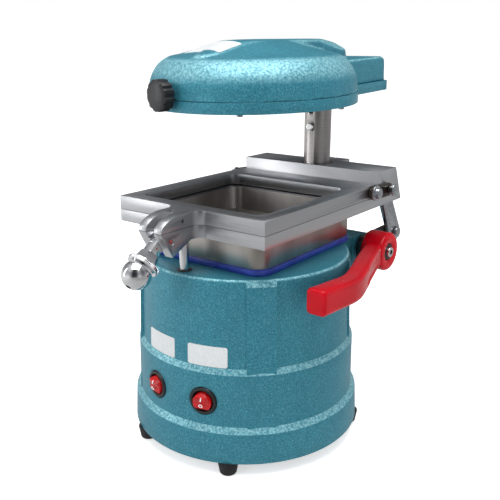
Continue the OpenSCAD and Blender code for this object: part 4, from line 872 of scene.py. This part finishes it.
def room():
    """White where the camera looks, a dim gradient as light, and dark flags in metal's mirrors."""
    world = bpy.data.worlds.new("studio")
    bpy.context.scene.world = world
    tree = fresh_tree(world)
    way = add(tree, "ShaderNodeTexCoord", out="Generated")
    ways = add(tree, "ShaderNodeSeparateXYZ", {0: way}, None).outputs
    height = add(tree, "ShaderNodeMapRange", between(0, 1, ways["Z"], -1, 1))
    azimuth = add(tree, "ShaderNodeMath", {0: ways["Y"], 1: ways["X"]}, operation="ARCTAN2")
    azimuth = add(tree, "ShaderNodeMapRange", between(0, 1, azimuth, -math.pi, math.pi))
    walls = add(
        tree, "ShaderNodeValToRGB", {"Fac": height},
        stops=[(0.45, "#6b6b6d"), (0.56, "#a9abad"), (0.85, "#e0e2e4")],
    )
    flags = add(
        tree, "ShaderNodeValToRGB", {"Fac": azimuth},
        stops=[
            (0.0, "#c8c8c8"), (0.14, "#ffffff"), (0.22, "#ffffff"), (0.30, "#4a4a4c"),
            (0.38, "#5a5a5c"), (0.44, "#f0f0f0"), (0.52, "#8a8a8c"), (0.66, "#e8e8e8"),
            (0.82, "#6a6a6c"), (1.0, "#c8c8c8"),
        ],
    )
    sky = add(
        tree, "ShaderNodeValToRGB", {"Fac": height},
        stops=[(0.50, "#ffffff"), (0.60, "#d2d2d6"), (0.74, "#b4b4ba"), (0.9, "#f6f6f6")],
    )
    mirrored = add(
        tree, "ShaderNodeMix", {0: 1.0, 6: flags, 7: sky}, 2,
        data_type="RGBA", blend_type="MULTIPLY",
    )
    path = add(tree, "ShaderNodeLightPath", out=None).outputs
    light, mirror, white = (
        add(tree, "ShaderNodeBackground", {"Color": colour, "Strength": strength})
        for colour, strength in ((walls, 0.42), (mirrored, 0.85), ((1, 1, 1, 1), 1.0))
    )
    inner = add(tree, "ShaderNodeMixShader", {0: path["Is Glossy Ray"], 1: light, 2: mirror})
    outer = add(tree, "ShaderNodeMixShader", {0: path["Is Camera Ray"], 1: inner, 2: white})
    add(tree, "ShaderNodeOutputWorld", {"Surface": outer}, None)


# Name, place, size in metres, watts, and whether metal mirrors it
LAMPS = [
    ("key_softbox", (-0.20, -1.10, 0.65), (0.45, 0.6), 3.6, False),
    ("left_strip", (-0.95, -0.75, 0.45), (0.14, 0.9), 2.6, True),
    ("right_fill", (1.05, -0.30, 0.40), (0.30, 0.8), 1.7, False),
    ("top_softbox", (0.10, -0.15, 1.30), (1.1, 1.1), 17.0, True),
    ("rear_rim", (0.75, 0.65, 0.40), (0.18, 0.8), 2.6, False),
]
LAMPS_LOOK_AT = Vector((0, 0, 0.16))


def lamps():
    """Soft area lamps, each turned to the object's middle."""
    for name, at, size, power, mirrored in LAMPS:
        lamp = bpy.data.lights.new(name, "AREA")
        lamp.shape = "RECTANGLE"
        lamp.size, lamp.size_y = size
        lamp.energy = power
        holder = bpy.data.objects.new(name, lamp)
        holder.location = at
        holder.rotation_euler = (LAMPS_LOOK_AT - Vector(at)).to_track_quat("-Z", "Y").to_euler()
        holder.visible_glossy = mirrored
        bpy.context.scene.collection.objects.link(holder)


def photo_camera():
    """The camera at the photograph's place, which looks down and to the left of +Y, in degrees."""
    down, left = 16.65, 37.08
    lens = bpy.data.cameras.new("camera")
    lens.lens = 49.87
    lens.sensor_width = 36
    lens.clip_start = 0.01
    holder = bpy.data.objects.new("camera", lens)
    holder.location = (0.3314, -0.4329, 0.3134)
    holder.rotation_euler = (math.radians(90 - down), 0, math.radians(left))
    bpy.context.scene.collection.objects.link(holder)
    bpy.context.scene.camera = holder


bpy.context.scene.view_settings.view_transform = "Standard"
paper_floor()
room()
lamps()
photo_camera()
